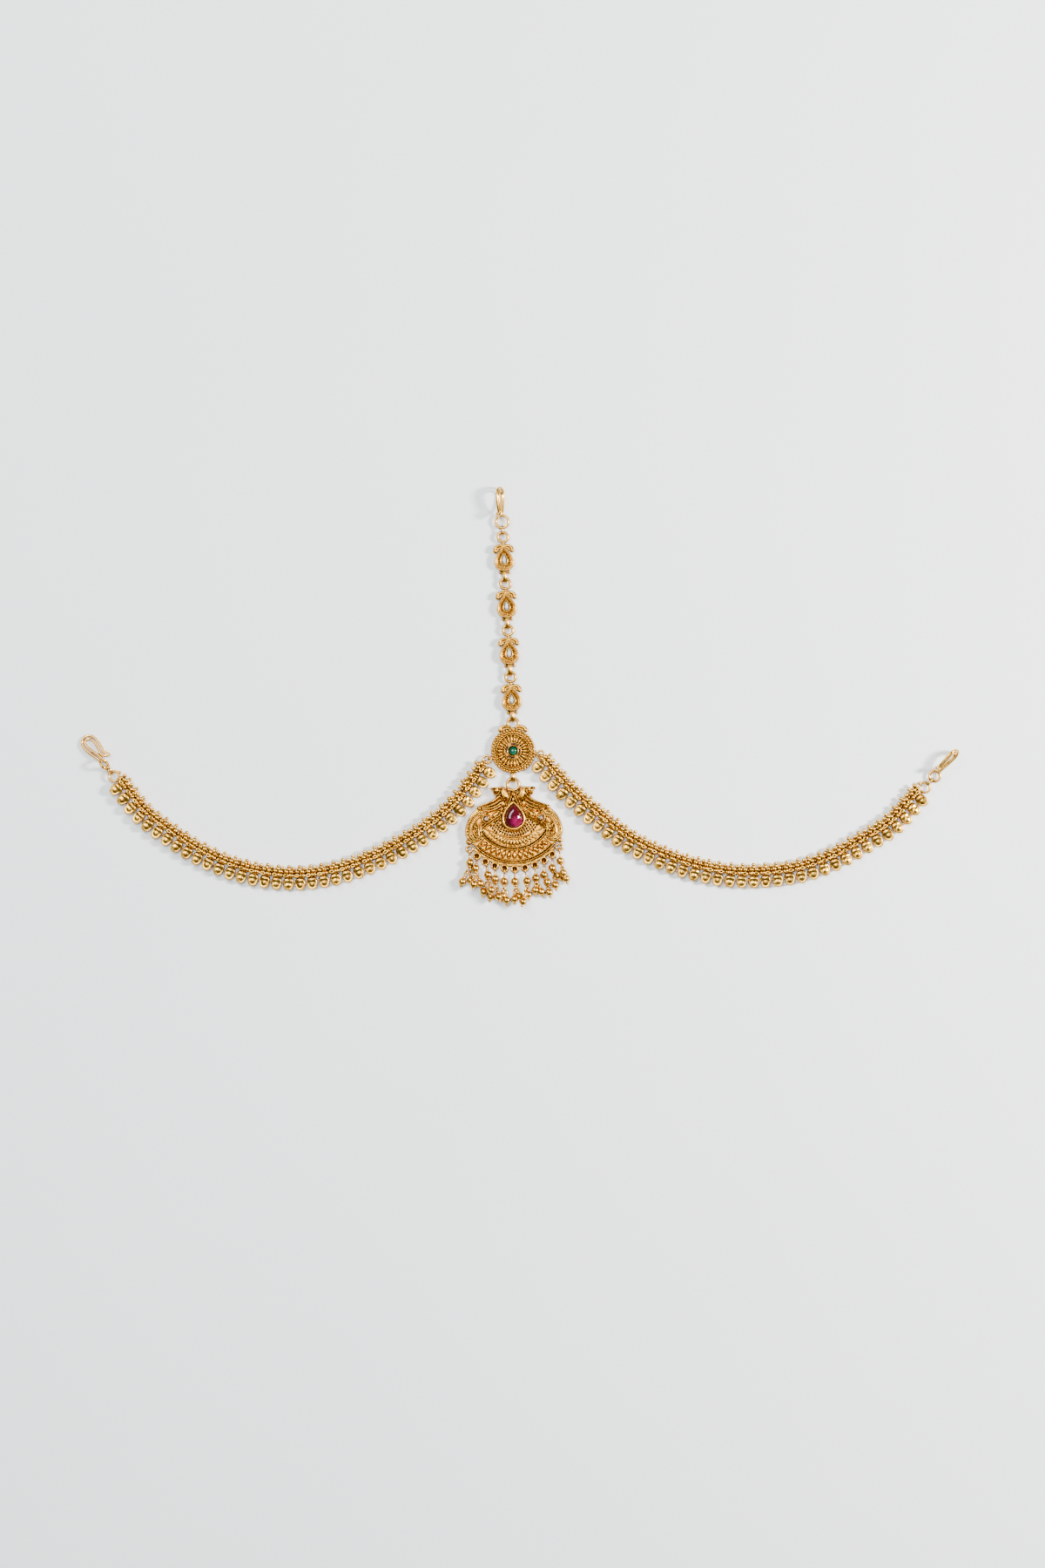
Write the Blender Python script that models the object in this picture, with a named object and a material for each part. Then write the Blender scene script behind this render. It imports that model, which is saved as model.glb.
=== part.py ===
"""Matha patti: a gold head ornament, lying flat with its back on the plane z = 0.

The origin is the centre of the medallion's flat back. +X runs to the wearer's left as seen from the front,
+Y runs up the centre chain and +Z points out of the ornament's face. Blender 4.5, metres.
"""

import math

import bmesh
import bpy
from mathutils import Matrix, Vector

MM = 0.001
X = Vector((1, 0, 0))
Y = Vector((0, 1, 0))
Z = Vector((0, 0, 1))

# Rings, wire and clearances
WIRE_RADIUS = 0.34 * MM
WIRE_SIDES = 5
RING_SIDES = 10
RING_HEIGHT = 1.35 * MM
BAIL_RISE = 0.98 * MM
WIRE_CLEARANCE = 0.2 * MM
JOINING_SPAN = 1.75 * MM
STONE_CLEARANCE = 0.1 * MM

# Medallion
MEDALLION_RADIUS = 8.5 * MM
MEDALLION_THICKNESS = 1.6 * MM
MEDALLION_SIDES = 26
ROPE_RADIUS = 6.3 * MM
ROPE_WIDTH = 0.9 * MM
ROPE_RISE = 0.6 * MM
SPOKE_RISE = 0.5 * MM
SPOKE_INNER_RADIUS = 3.4 * MM
SLOT_RADIUS = 2.72 * MM
SLOT_WIDTH = 0.5 * MM
SLOT_SWEEP = 66.0
MEDALLION_BEZEL_RISE = 1.2 * MM
MEDALLION_BEZEL_WALL = 0.45 * MM
MEDALLION_STONE_RADIUS = 1.6 * MM
MEDALLION_STONE_HEIGHT = 2.1 * MM
MEDALLION_RING_RADIUS = 2.05 * MM
SIDE_EYE_REACH = 0.55 * MM
LEFT_EYE_ANGLE = 198.2
RIGHT_EYE_ANGLE = 352.4

# Centre chain
CHAIN_LINKS = 4
CHAIN_PITCH = 17.85 * MM
CHAIN_LEAN = 3.1
CHAIN_RING_RADIUS = 1.8 * MM
PEAR_WIDTH = 7.5 * MM
PEAR_LENGTH = 9.4 * MM
PEAR_DROP = 8.4 * MM
PEAR_SIDES = 12
LINK_THICKNESS = 1.3 * MM
LINK_FRAME_RISE = 0.8 * MM
LINK_FRAME_WALL = 1.15 * MM
CHAIN_STONE_WIDTH = 1.5 * MM
CHAIN_STONE_LENGTH = 3.2 * MM
CHAIN_STONE_HEIGHT = 1.3 * MM
CHAIN_STONE_WALL = 0.9 * MM
NECK_RADIUS = 0.6 * MM
LEAF_LENGTH = 4.3 * MM
LEAF_WIDTH = 2.1 * MM

# Side strands
DROP_WIDTH = 3.9 * MM
DROP_LENGTH = 5.1 * MM
DROP_DEPTH = 3.6 * MM
UNIT_GAP = 0.62 * MM
BARREL_TO_DROP = 3.5 * MM
FLOWER_REACH = 2.7 * MM
FLOWER_TIP = 0.75 * MM
BARREL_WIDTH = 3.8 * MM
BARREL_LENGTH = 1.3 * MM
BARREL_DEPTH = 1.3 * MM
DROP_SIDES = 10
BARREL_SIDES = 4
INNER_RING_RADIUS = 1.5 * MM
OUTER_RING_RADIUS = 2.0 * MM
JOINT_BEAD_RADIUS = 0.8 * MM
OUTER_RING_TURN = 30.0
# Points that the line of drops passes through, from each strand's inner ring outwards
LEFT_ROUTE = [
    (0.9, -5.0), (-4.4, -12.1), (-10.3, -19.5), (-20.9, -28.3), (-32.4, -35.4), (-44.6, -41.3),
    (-57.8, -45.6), (-71.7, -47.4), (-85.4, -46.4), (-98.7, -43.1), (-111.3, -37.4), (-122.4, -30.3),
    (-133.2, -21.9), (-141.6, -11.3),
]
RIGHT_ROUTE = [
    (-0.8, -4.6), (5.4, -11.8), (11.8, -18.1), (22.2, -27.0), (32.9, -34.9), (45.4, -41.1), (58.3, -45.5),
    (72.1, -48.1), (85.6, -48.3), (99.7, -46.5), (112.8, -41.9), (124.7, -35.3), (136.2, -27.9),
    (145.7, -17.4),
]

# Hooks, each with the turn of its eye, then the turn and the pitch of its loop
TOP_HOOK_TURNS = (0, 65, -5.5)
LEFT_HOOK_TURNS = (60, 0, 8)
RIGHT_HOOK_TURNS = (0, 60, -5)
LEFT_LINK_LEAN = 0.6
HOOK_LENGTH = 12.7 * MM
HOOK_WIDTH = 4.6 * MM
HOOK_BAND = 1.45 * MM
HOOK_WIRE = 0.75 * MM
HOOK_EYE_RADIUS = 2.0 * MM
TOP_HOOK_EYE_RADIUS = 2.4 * MM
# Loop of a hook: share of the length from its eye, share of the width across it
HOOK_PATH = [
    (0.13, 0.0), (0.27, -0.02), (0.58, -0.29), (0.80, -0.38), (0.94, -0.24), (0.98, 0.10), (0.93, 0.42),
    (0.80, 0.58), (0.60, 0.57), (0.41, 0.49), (0.30, 0.41), (0.22, 0.60), (0.20, 0.84),
]

# Pendant
PENDANT_TILT = 1.2
PENDANT_HANG = 2.1 * MM
PENDANT_RING_RADIUS = 2.25 * MM
PENDANT_WIRE_RADIUS = 0.41 * MM
CROWN_BEAD_RADIUS = 1.0 * MM
CROWN_BEAD_DROP = 3.35 * MM
BIRD_HEAD_RADIUS = 1.5 * MM
WING_KNOB_RADIUS = 0.85 * MM
CORNER_KNOB_RADIUS = 1.0 * MM
PENDANT_RADIUS = 19.8 * MM
PENDANT_ARC_DROP = 9.9 * MM
PLATE_THICKNESS = 1.6 * MM
BORDER_WIDTH = 0.9 * MM
BORDER_RISE = 0.8 * MM
PANEL_INSET = 5.6 * MM
PANEL_RADIUS = PENDANT_RADIUS - PANEL_INSET
PANEL_CORNER_ANGLE = 27.0
SEED_INSET = 2.6 * MM
SEED_RADIUS = PENDANT_RADIUS - SEED_INSET
SEED_LENGTH = 3.2 * MM
SEED_WIDTH = 1.9 * MM
SEED_COUNT = 13
SEED_SWEEP = 86.0
LUG_REACH = 2.6 * MM
LUG_ARC_RADIUS = PENDANT_RADIUS + LUG_REACH
LUG_END_MARGIN = 2.0
LUG_RADIUS = 1.6 * MM
LUG_HOLE_RADIUS = 0.85 * MM
LUG_THICKNESS = 0.8 * MM
LUG_STEP = 0.1 * MM
LUG_COUNT = 11
LUG_PITCH_ANGLE = 10.0
RUBY_WIDTH = 7.2 * MM
RUBY_LENGTH = 9.2 * MM
RUBY_HEIGHT = 3.0 * MM
RUBY_DROP = 11.9 * MM
BEZEL_WALL = 0.85 * MM
BEZEL_RISE = 2.3 * MM
PAISLEY_RISE = 1.3 * MM
BIRD_RISE = 1.1 * MM
JALI_HOLE_RADIUS = 0.42 * MM
# Right half of the plate's outline: angle about the arcs' centre, share of PENDANT_RADIUS
PLATE_OUTLINE = [
    (90, 0.37), (69, 0.51), (47.7, 0.615), (41, 0.50), (44.5, 0.40), (25.5, 0.505), (8.7, 0.665),
    (3.6, 0.72), (-5.2, 0.84), (-13.2, 0.95), (-20.7, 1.01), (-29, 1.04), (-34, 1.11), (-38, 1.04),
]
PAISLEY_OUTLINE = [
    (-3.9, 0.52), (0.0, 0.64), (-3.8, 0.77), (-10.8, 0.89), (-19.0, 0.975), (-27.5, 1.02), (-34.2, 1.0),
    (-37.0, 0.90), (-32.1, 0.77), (-22.8, 0.69), (-23.9, 0.585), (-16.0, 0.495),
]
WING_OUTLINE = [
    (38, 0.36), (30, 0.46), (18, 0.56), (5, 0.69), (-1, 0.66), (2, 0.50), (8, 0.38), (20, 0.30),
]
BREAST_OUTLINE = [(80, 0.36), (70, 0.48), (55, 0.52), (48, 0.42), (42, 0.33), (50, 0.22), (65, 0.26)]
# A bird's head, the ball at the end of its wing and the ball at the border's end
KNOB_PLACES = [(50, 0.481), (4.5, 0.67), (-33.5, 1.06)]
# Pierced holes each side of the stone, in millimetres: how far each lies from the axis and below the ring
JALI_HOLES = [
    (5.3, 14.2), (6.6, 14.9), (7.9, 15.6), (5.1, 15.9), (6.4, 16.7), (4.4, 17.5), (2.2, 18.4), (5.6, 18.3),
]

# Drops below the pendant
DROP_BEAD_RADIUS = 1.4 * MM
DROP_BEAD_SIDES = 10
DROP_WIRE_RADIUS = 0.24 * MM
DROP_STEM_RADIUS = 0.2 * MM
DROP_BAIL_RADIUS = 0.97 * MM
# Each row is one drop, from the left, in millimetres: how far its upper bead lies to the right of its ring
# and below it, then the same and the height for each of its two lower beads
DROPS = [
    (0.2, 5.2, -2.7, 12.5, 1.4, 0.5, 12.0, 1.4),
    (-0.5, 4.7, -1.2, 10.7, 3.9, 1.3, 10.5, 1.4),
    (1.0, 5.0, -0.5, 11.5, 1.4, 2.2, 10.7, 3.9),
    (0.2, 5.0, -1.5, 11.8, 1.4, 1.5, 11.7, 3.9),
    (-0.2, 5.0, -0.7, 10.5, 1.4, 0.8, 12.2, 1.4),
    (0.0, 4.8, 0.0, 11.5, 1.4, 1.8, 10.5, 1.4),
    (0.8, 5.0, -0.7, 12.8, 3.9, 1.3, 10.2, 1.4),
    (0.4, 5.0, 0.2, 9.6, 1.4, 2.5, 10.2, 1.4),
    (0.0, 5.5, 1.3, 8.3, 1.4, 2.0, 12.2, 1.4),
    (0.0, 5.2, 1.3, 11.7, 1.4, 2.3, 8.2, 1.4),
    (0.5, 5.3, 2.6, 12.0, 1.4, 1.6, 9.8, 3.9),
]

GOLD = (0.80, 0.52, 0.17)
RUBY = (0.45, 0.02, 0.08)
EMERALD = (0.02, 0.30, 0.14)
CLEAR = (0.90, 0.90, 0.88)


def clear_scene():
    for obj in list(bpy.data.objects):
        bpy.data.objects.remove(obj)


def make_material(name, colour, roughness, metallic):
    material = bpy.data.materials.new(name)
    material.use_nodes = True
    shader = material.node_tree.nodes["Principled BSDF"]
    shader.inputs["Base Color"].default_value = (*colour, 1)
    shader.inputs["Roughness"].default_value = roughness
    shader.inputs["Metallic"].default_value = metallic
    return material


def make_object(name, mesh, material=None, smooth=False):
    """An object from a bmesh of closed shells, its faces turned outwards."""
    bmesh.ops.recalc_face_normals(mesh, faces=mesh.faces)
    data = bpy.data.meshes.new(name)
    mesh.to_mesh(data)
    mesh.free()
    if smooth:
        data.shade_smooth()
        data.set_sharp_from_angle(angle=math.radians(50))
    if material:
        data.materials.append(material)
    obj = bpy.data.objects.new(name, data)
    bpy.context.scene.collection.objects.link(obj)
    return obj


def combine(base, tools, operation):
    """Joins the tools to the base, or cuts them from it, in the base's own frame."""
    group = bpy.data.collections.new(f"{base.name}_{operation.lower()}")
    bpy.context.scene.collection.children.link(group)
    for tool in tools:
        bpy.context.scene.collection.objects.unlink(tool)
        group.objects.link(tool)
        tool.parent = base
        tool.hide_render = True
        tool.display_type = "WIRE"
    modifier = base.modifiers.new(operation.title(), "BOOLEAN")
    modifier.operation = operation
    modifier.operand_type = "COLLECTION"
    modifier.collection = group
    modifier.solver = "EXACT"


def place(obj, location, angle=0.0):
    obj.location = location
    obj.rotation_euler = (0, 0, math.radians(angle))


def polar(radius, degrees, centre=Vector()):
    angle = math.radians(degrees)
    return centre + Vector((radius * math.cos(angle), radius * math.sin(angle), 0))


def bridge(mesh, lower, upper):
    """Faces between two rings of vertices, which may differ in count, or one of which is a single point."""
    if len(upper) == 1 or len(lower) == 1:
        tip, ring = (upper[0], lower) if len(upper) == 1 else (lower[0], upper)
        for i, vertex in enumerate(ring):
            mesh.faces.new((vertex, ring[(i + 1) % len(ring)], tip))
    elif len(lower) == len(upper):
        for i, vertex in enumerate(lower):
            j = (i + 1) % len(lower)
            mesh.faces.new((vertex, lower[j], upper[j], upper[i]))
    else:
        low, high = 0, 0
        while low < len(lower) or high < len(upper):
            lower_next = (low + 0.5) * len(upper) < (high + 0.5) * len(lower)
            step_low = high == len(upper) or (low < len(lower) and lower_next)
            ends = (lower[low % len(lower)], upper[high % len(upper)])
            if step_low:
                low += 1
                mesh.faces.new((*ends, lower[low % len(lower)]))
            else:
                high += 1
                mesh.faces.new((*ends, upper[high % len(upper)]))


def skin(mesh, rings, closed=False):
    """A closed shell through rings of points. A ring of one point is a tip; other end rings are capped."""
    loops = [[mesh.verts.new(point) for point in ring] for ring in rings]
    for lower, upper in zip(loops, loops[1:]):
        bridge(mesh, lower, upper)
    if closed:
        bridge(mesh, loops[-1], loops[0])
        return
    for end in (loops[0], loops[-1]):
        if len(end) > 2:
            mesh.faces.new(end)


def circle(centre, across, along, half_across, half_along, sides, turn=0.0):
    points = []
    for i in range(sides):
        angle = 2 * math.pi * (i + turn) / sides
        points.append(centre + across * half_across * math.cos(angle) + along * half_along * math.sin(angle))
    return points


def sweep(mesh, path, normal, half_width, half_height, sides, closed=False):
    """A wire of elliptical section along a path that lies in the plane across the normal."""
    rings = []
    for i, point in enumerate(path):
        before = path[i - 1] if i or closed else point
        after = path[(i + 1) % len(path)] if i + 1 < len(path) or closed else point
        side = (after - before).normalized().cross(normal).normalized()
        rings.append(circle(point, side, normal, half_width, half_height, sides))
    skin(mesh, rings, closed)


def add_ring(mesh, centre, across, along, half_across, half_along, wire=WIRE_RADIUS):
    """A closed ring of round wire, measured to the middle of the wire."""
    path = circle(centre, across, along, half_across, half_along, RING_SIDES, 0.5)
    sweep(mesh, path, across.cross(along), wire, wire, WIRE_SIDES, closed=True)


def add_bead(mesh, centre, radius):
    place_at = Matrix.Translation(centre)
    bmesh.ops.create_uvsphere(mesh, u_segments=10, v_segments=3, radius=radius, matrix=place_at)


def add_tiers(mesh, tiers):
    """A solid of stacked outlines, each given as its points in plan and its height."""
    skin(mesh, [[Vector((point.x, point.y, height)) for point in outline] for outline, height in tiers])


def pear(width, length, count, centre=Vector(), fullness=0.75):
    """A pear outline, its point up and its middle at the centre."""
    halves = [math.sin(t) * math.sin(t / 2) ** fullness for t in (math.pi * i / 200 for i in range(201))]
    widest = max(halves)
    points = []
    for i in range(count):
        angle = 2 * math.pi * i / count
        across = math.sin(angle) * abs(math.sin(angle / 2)) ** fullness / widest
        points.append(centre + Vector((across * width / 2, math.cos(angle) * length / 2, 0)))
    return points


def solid(name, build, *values, **named):
    """A helper object from one building function."""
    mesh = bmesh.new()
    build(mesh, *values, **named)
    return make_object(name, mesh, smooth=True)


def ring_solid(name, centre, across, along, half_across, half_along, wire=WIRE_RADIUS):
    return solid(name, add_ring, centre, across, along, half_across, half_along, wire)


def bail_reach(ring_wire, own_wire=WIRE_RADIUS):
    """Half the hole's length that lets a bail pass clear round another ring's wire."""
    return ring_wire + WIRE_CLEARANCE + own_wire


def make_cut_stone(name, width, length, height, base, centre, sides, material):
    """A pear-cut stone: a narrower foot, a girdle, sloping crown facets and a flat table."""
    girdle = pear(width, length, sides, centre)
    foot = pear(width * 0.8, length * 0.8, sides, centre)
    table = pear(width * 0.5, length * 0.5, sides, centre)
    mesh = bmesh.new()
    add_tiers(mesh, [
        (foot, base),
        (girdle, base + height * 0.45),
        (girdle, base + height * 0.55),
        (table, base + height),
    ])
    return make_object(name, mesh, material)


def side_ring_centre(angle):
    """Centre of a strand's inner ring, whose wire passes through the medallion's side eye."""
    return polar(MEDALLION_RADIUS + SIDE_EYE_REACH + INNER_RING_RADIUS, angle) + Z * RING_HEIGHT


def make_bail(name, inner_end, outer_end):
    """An upright oval ring, from its end inside the piece that carries it to its far end."""
    along = (outer_end - inner_end).normalized()
    middle = (inner_end + outer_end) / 2
    return ring_solid(name, middle, along, Z, (outer_end - inner_end).length / 2, BAIL_RISE)


def add_leaf(mesh, centre, length, width, rise, angle):
    """A low curled leaf or seed: a flattened ball, longer one way."""
    shape = (
        Matrix.Translation(centre)
        @ Matrix.Rotation(math.radians(angle), 4, "Z")
        @ Matrix.Diagonal((length / 2, width / 2, rise, 1))
    )
    bmesh.ops.create_uvsphere(mesh, u_segments=6, v_segments=3, radius=1, matrix=shape)


def make_medallion(gold, emerald):
    def disc_ring(radius, height, other_height=None, other_radius=None):
        points = []
        for i in range(MEDALLION_SIDES):
            odd = i % 2 and other_height is not None
            point = polar(other_radius if odd and other_radius else radius, 360 * i / MEDALLION_SIDES)
            points.append(point + Z * (other_height if odd else height))
        return points

    thickness = MEDALLION_THICKNESS
    rim = MEDALLION_RADIUS
    floor = thickness - SPOKE_RISE / 2
    mesh = bmesh.new()
    skin(mesh, [
        disc_ring(rim * 0.97, 0),
        disc_ring(rim, thickness / 2, thickness / 2, rim * 0.96),
        disc_ring(rim * 0.97, thickness),
        disc_ring(ROPE_RADIUS + ROPE_WIDTH / 2, thickness),
        disc_ring(ROPE_RADIUS, thickness + ROPE_RISE),
        disc_ring(ROPE_RADIUS - ROPE_WIDTH / 2, floor, floor + SPOKE_RISE),
        disc_ring(SPOKE_INNER_RADIUS, floor, floor + SPOKE_RISE),
        disc_ring(SLOT_RADIUS + SLOT_WIDTH / 2, floor),
    ])
    medallion = make_object("medallion", mesh, gold)

    seat = MEDALLION_STONE_RADIUS + STONE_CLEARANCE
    bezel = seat + MEDALLION_BEZEL_WALL
    bezel_top = thickness + MEDALLION_BEZEL_RISE
    pocket_floor = thickness - SPOKE_RISE
    round_bezel = solid("medallion_bezel", skin, [
        circle(Z * (floor - ROPE_RISE), X, Y, bezel, bezel, 14),
        circle(Z * bezel_top, X, Y, bezel, bezel, 14),
    ])
    ring_centre = Vector((0, rim + MEDALLION_RING_RADIUS - WIRE_RADIUS / 2, RING_HEIGHT))
    joined = [
        round_bezel,
        ring_solid("medallion_ring", ring_centre, X, Y, MEDALLION_RING_RADIUS, MEDALLION_RING_RADIUS),
    ]
    for side in (-1, 1):
        leaf_centre = polar(rim * 1.03, 90 + side * 27) + Z * RING_HEIGHT
        leaf_length = LEAF_LENGTH * 0.8
        leaf = solid("medallion_leaf", add_leaf, leaf_centre, leaf_length, LEAF_WIDTH, RING_HEIGHT, side * 20)
        joined.append(leaf)
    level = Z * RING_HEIGHT
    reach = rim + SIDE_EYE_REACH + bail_reach(WIRE_RADIUS) + STONE_CLEARANCE
    for angle in (LEFT_EYE_ANGLE, RIGHT_EYE_ANGLE):
        eye_start = polar(rim - WIRE_RADIUS, angle) + level
        joined.append(make_bail("side_eye", eye_start, polar(reach, angle) + level))
    lower_bail_end = pendant_place() + Y * (PENDANT_RING_RADIUS - bail_reach(WIRE_RADIUS))
    joined.append(make_bail("lower_bail", level - Y * (rim - WIRE_RADIUS), lower_bail_end))
    combine(medallion, joined, "UNION")

    cuts = [solid("stone_pocket", skin, [
        circle(Z * pocket_floor, X, Y, seat, seat, 14),
        circle(Z * (bezel_top + thickness), X, Y, seat, seat, 14),
    ])]
    for quarter in range(4):
        start = 90 * quarter + 45 - SLOT_SWEEP / 2
        outer = [polar(SLOT_RADIUS + SLOT_WIDTH / 2, start + SLOT_SWEEP * i / 3) for i in range(4)]
        inner = [polar(SLOT_RADIUS - SLOT_WIDTH / 2, start + SLOT_SWEEP * i / 3) for i in range(4)]
        outline = outer + inner[::-1]
        cuts.append(solid("slot", add_tiers, [(outline, -thickness), (outline, 2 * thickness)]))
    combine(medallion, cuts, "DIFFERENCE")

    base = pocket_floor + STONE_CLEARANCE
    radius, height = MEDALLION_STONE_RADIUS, MEDALLION_STONE_HEIGHT
    rings = []
    for share, rise in ((1, 0), (1, 0.45), (0.65, 0.85)):
        rings.append(circle(Z * (base + height * rise), X, Y, radius * share, radius * share, 12))
    mesh = bmesh.new()
    skin(mesh, rings + [[Z * (base + height)]])
    make_object("medallion_stone", mesh, emerald, smooth=True)
    return ring_centre


def make_chain_link(number, place_at, ring_below, gold, clear):
    """One pear-shaped link, its ring at its origin and its bail round the ring below."""
    middle = Vector((0, -PEAR_DROP, 0))
    seat_width = CHAIN_STONE_WIDTH + 2 * STONE_CLEARANCE
    seat_length = CHAIN_STONE_LENGTH + 2 * STONE_CLEARANCE
    crest_width, crest_length = PEAR_WIDTH - LINK_FRAME_WALL, PEAR_LENGTH - LINK_FRAME_WALL
    collar_width = seat_width + CHAIN_STONE_WALL
    collar_length = seat_length + CHAIN_STONE_WALL
    pocket_floor = LINK_THICKNESS / 2
    mesh = bmesh.new()
    add_tiers(mesh, [
        (pear(PEAR_WIDTH, PEAR_LENGTH, PEAR_SIDES, middle), 0),
        (pear(PEAR_WIDTH, PEAR_LENGTH, PEAR_SIDES, middle), LINK_THICKNESS),
        (pear(crest_width, crest_length, PEAR_SIDES, middle), LINK_THICKNESS + LINK_FRAME_RISE),
        (pear(collar_width, collar_length, PEAR_SIDES, middle), LINK_THICKNESS),
        (pear(seat_width, seat_length, PEAR_SIDES, middle), LINK_THICKNESS),
        (pear(seat_width, seat_length, PEAR_SIDES, middle), pocket_floor),
    ])
    link = make_object(f"chain_link_{number}", mesh, gold)
    level = RING_HEIGHT
    ring = ring_solid("link_ring", Z * level, X, Y, CHAIN_RING_RADIUS, CHAIN_RING_RADIUS)
    bail_start = Vector((0, middle.y - PEAR_LENGTH / 2 + WIRE_RADIUS, level))
    bail_end = Vector((0, -CHAIN_PITCH + ring_below - bail_reach(WIRE_RADIUS), level))
    joined = [ring, make_bail("link_bail", bail_start, bail_end)]
    neck_top = -CHAIN_RING_RADIUS
    neck_end = middle.y + PEAR_LENGTH / 2 - PEAR_LENGTH / 5
    neck = [Vector((0, neck_top, level)), Vector((0, neck_end, level))]
    joined.append(solid("link_neck", sweep, neck, Z, NECK_RADIUS, NECK_RADIUS, 6))
    for side in (-1, 1):
        leaf = Vector((side * PEAR_WIDTH * 0.28, middle.y + PEAR_LENGTH * 0.54, RING_HEIGHT))
        joined.append(solid("link_leaf", add_leaf, leaf, LEAF_LENGTH, LEAF_WIDTH, RING_HEIGHT, side * -42))
    combine(link, joined, "UNION")
    place(link, place_at, CHAIN_LEAN)
    base = pocket_floor + STONE_CLEARANCE
    stone = make_cut_stone(
        f"chain_stone_{number}", CHAIN_STONE_WIDTH, CHAIN_STONE_LENGTH, CHAIN_STONE_HEIGHT,
        base, middle, 8, clear,
    )
    place(stone, place_at, CHAIN_LEAN)


def make_joining_link(name, first, second, material, cross=Z):
    """An oval jump ring round two wires, given by the middles of the wires where it holds them."""
    along = (second - first).normalized()
    across = (cross - along * cross.dot(along)).normalized()
    half = (second - first).length / 2 + bail_reach(WIRE_RADIUS)
    mesh = bmesh.new()
    add_ring(mesh, (first + second) / 2, along, across, half, BAIL_RISE)
    return make_object(name, mesh, material, smooth=True)


def make_hook(name, eye, heading, eye_radius, turns, side, material):
    """A clip bent from a doubled wire, with its eye ring at its own origin and its loop along the heading."""
    eye_roll, loop_roll, loop_pitch = turns
    turn = Matrix.Rotation(heading, 4, "Z")
    pitch = Matrix.Rotation(math.radians(loop_pitch), 4, "Y")
    roll = Matrix.Rotation(math.radians(loop_roll), 4, "X")
    loop_turn = pitch @ roll
    path = []
    for share, across in HOOK_PATH:
        path.append(loop_turn @ Vector((share * HOOK_LENGTH, side * across * HOOK_WIDTH, 0)))
    path[0].x = eye_radius
    normal = (loop_turn @ Z).normalized()
    mesh = bmesh.new()
    sweep(mesh, path, normal, HOOK_BAND / 2, HOOK_WIRE / 2, WIRE_SIDES)
    hook = make_object(name, mesh, material, smooth=True)
    eye_turn = Matrix.Rotation(math.radians(eye_roll), 4, "X")
    ring = ring_solid("hook_eye", Vector(), X, eye_turn @ Y, eye_radius, eye_radius)
    combine(hook, [ring], "UNION")
    hook.matrix_world = Matrix.Translation(eye) @ turn
    return hook


def smooth_route(points, origin, steps=24):
    """Points close together along a smooth curve through the route's own points."""
    route = [origin + Vector((x * MM, y * MM, 0)) for x, y in points]
    ends = [2 * route[0] - route[1]] + route + [2 * route[-1] - route[-2]]
    curve = []
    for before, start, end, after in zip(ends, ends[1:], ends[2:], ends[3:]):
        for i in range(steps):
            t = i / steps
            bend = (2 * start + (end - before) * t + (2 * before - 5 * start + 4 * end - after) * t * t
                    + (3 * start - before - 3 * end + after) * t ** 3)
            curve.append(bend / 2)
    curve.append(route[-1])
    return curve


def spaced(curve, pitch):
    """Points at equal steps along the curve, as near the pitch as fills it, each with its direction."""
    lengths = [0.0]
    for start, end in zip(curve, curve[1:]):
        lengths.append(lengths[-1] + (end - start).length)
    count = int(lengths[-1] / pitch) + 1
    step = lengths[-1] / (count - 1)
    places = []
    segment = 0
    for i in range(count):
        target = min(i * step, lengths[-1])
        while segment + 2 < len(lengths) and lengths[segment + 1] < target:
            segment += 1
        start, end = curve[segment], curve[segment + 1]
        share = (target - lengths[segment]) / (lengths[segment + 1] - lengths[segment])
        places.append((start.lerp(end, share), (end - start).normalized()))
    return places


def unit_rings(centre, along, up):
    """The rings of points of one unit: a flower, the barrel below it, a neck and a faceted drop."""
    flat = math.cos(math.pi / BARREL_SIDES)
    half_barrel = BARREL_WIDTH / 2 / flat
    barrel_top = BARREL_TO_DROP + BARREL_LENGTH / 2
    barrel_low = BARREL_TO_DROP - BARREL_LENGTH / 2
    half_drop = DROP_LENGTH / 2
    profile = (
        (barrel_top + FLOWER_REACH, FLOWER_TIP, FLOWER_TIP, BARREL_SIDES, 0.5),
        (barrel_top, half_barrel, BARREL_DEPTH / 2 / flat, BARREL_SIDES, 0.5),
        (barrel_low, half_barrel, BARREL_DEPTH / 2 / flat, BARREL_SIDES, 0.5),
        ((barrel_low + half_drop * 0.9) / 2, DROP_WIDTH * 0.25, DROP_DEPTH * 0.25, BARREL_SIDES, 0.5),
        (half_drop * 0.4, DROP_WIDTH / 2, DROP_DEPTH / 2, DROP_SIDES, 1),
        (-half_drop * 0.45, DROP_WIDTH * 0.34, DROP_DEPTH * 0.34, DROP_SIDES // 2, 0.5),
    )
    rings = []
    for rise, half_width, half_depth, sides, turn in profile:
        rings.append(circle(centre + up * rise, along, Z, half_width, half_depth, sides, turn))
    rings.append([centre - up * half_drop])
    return rings


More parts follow.
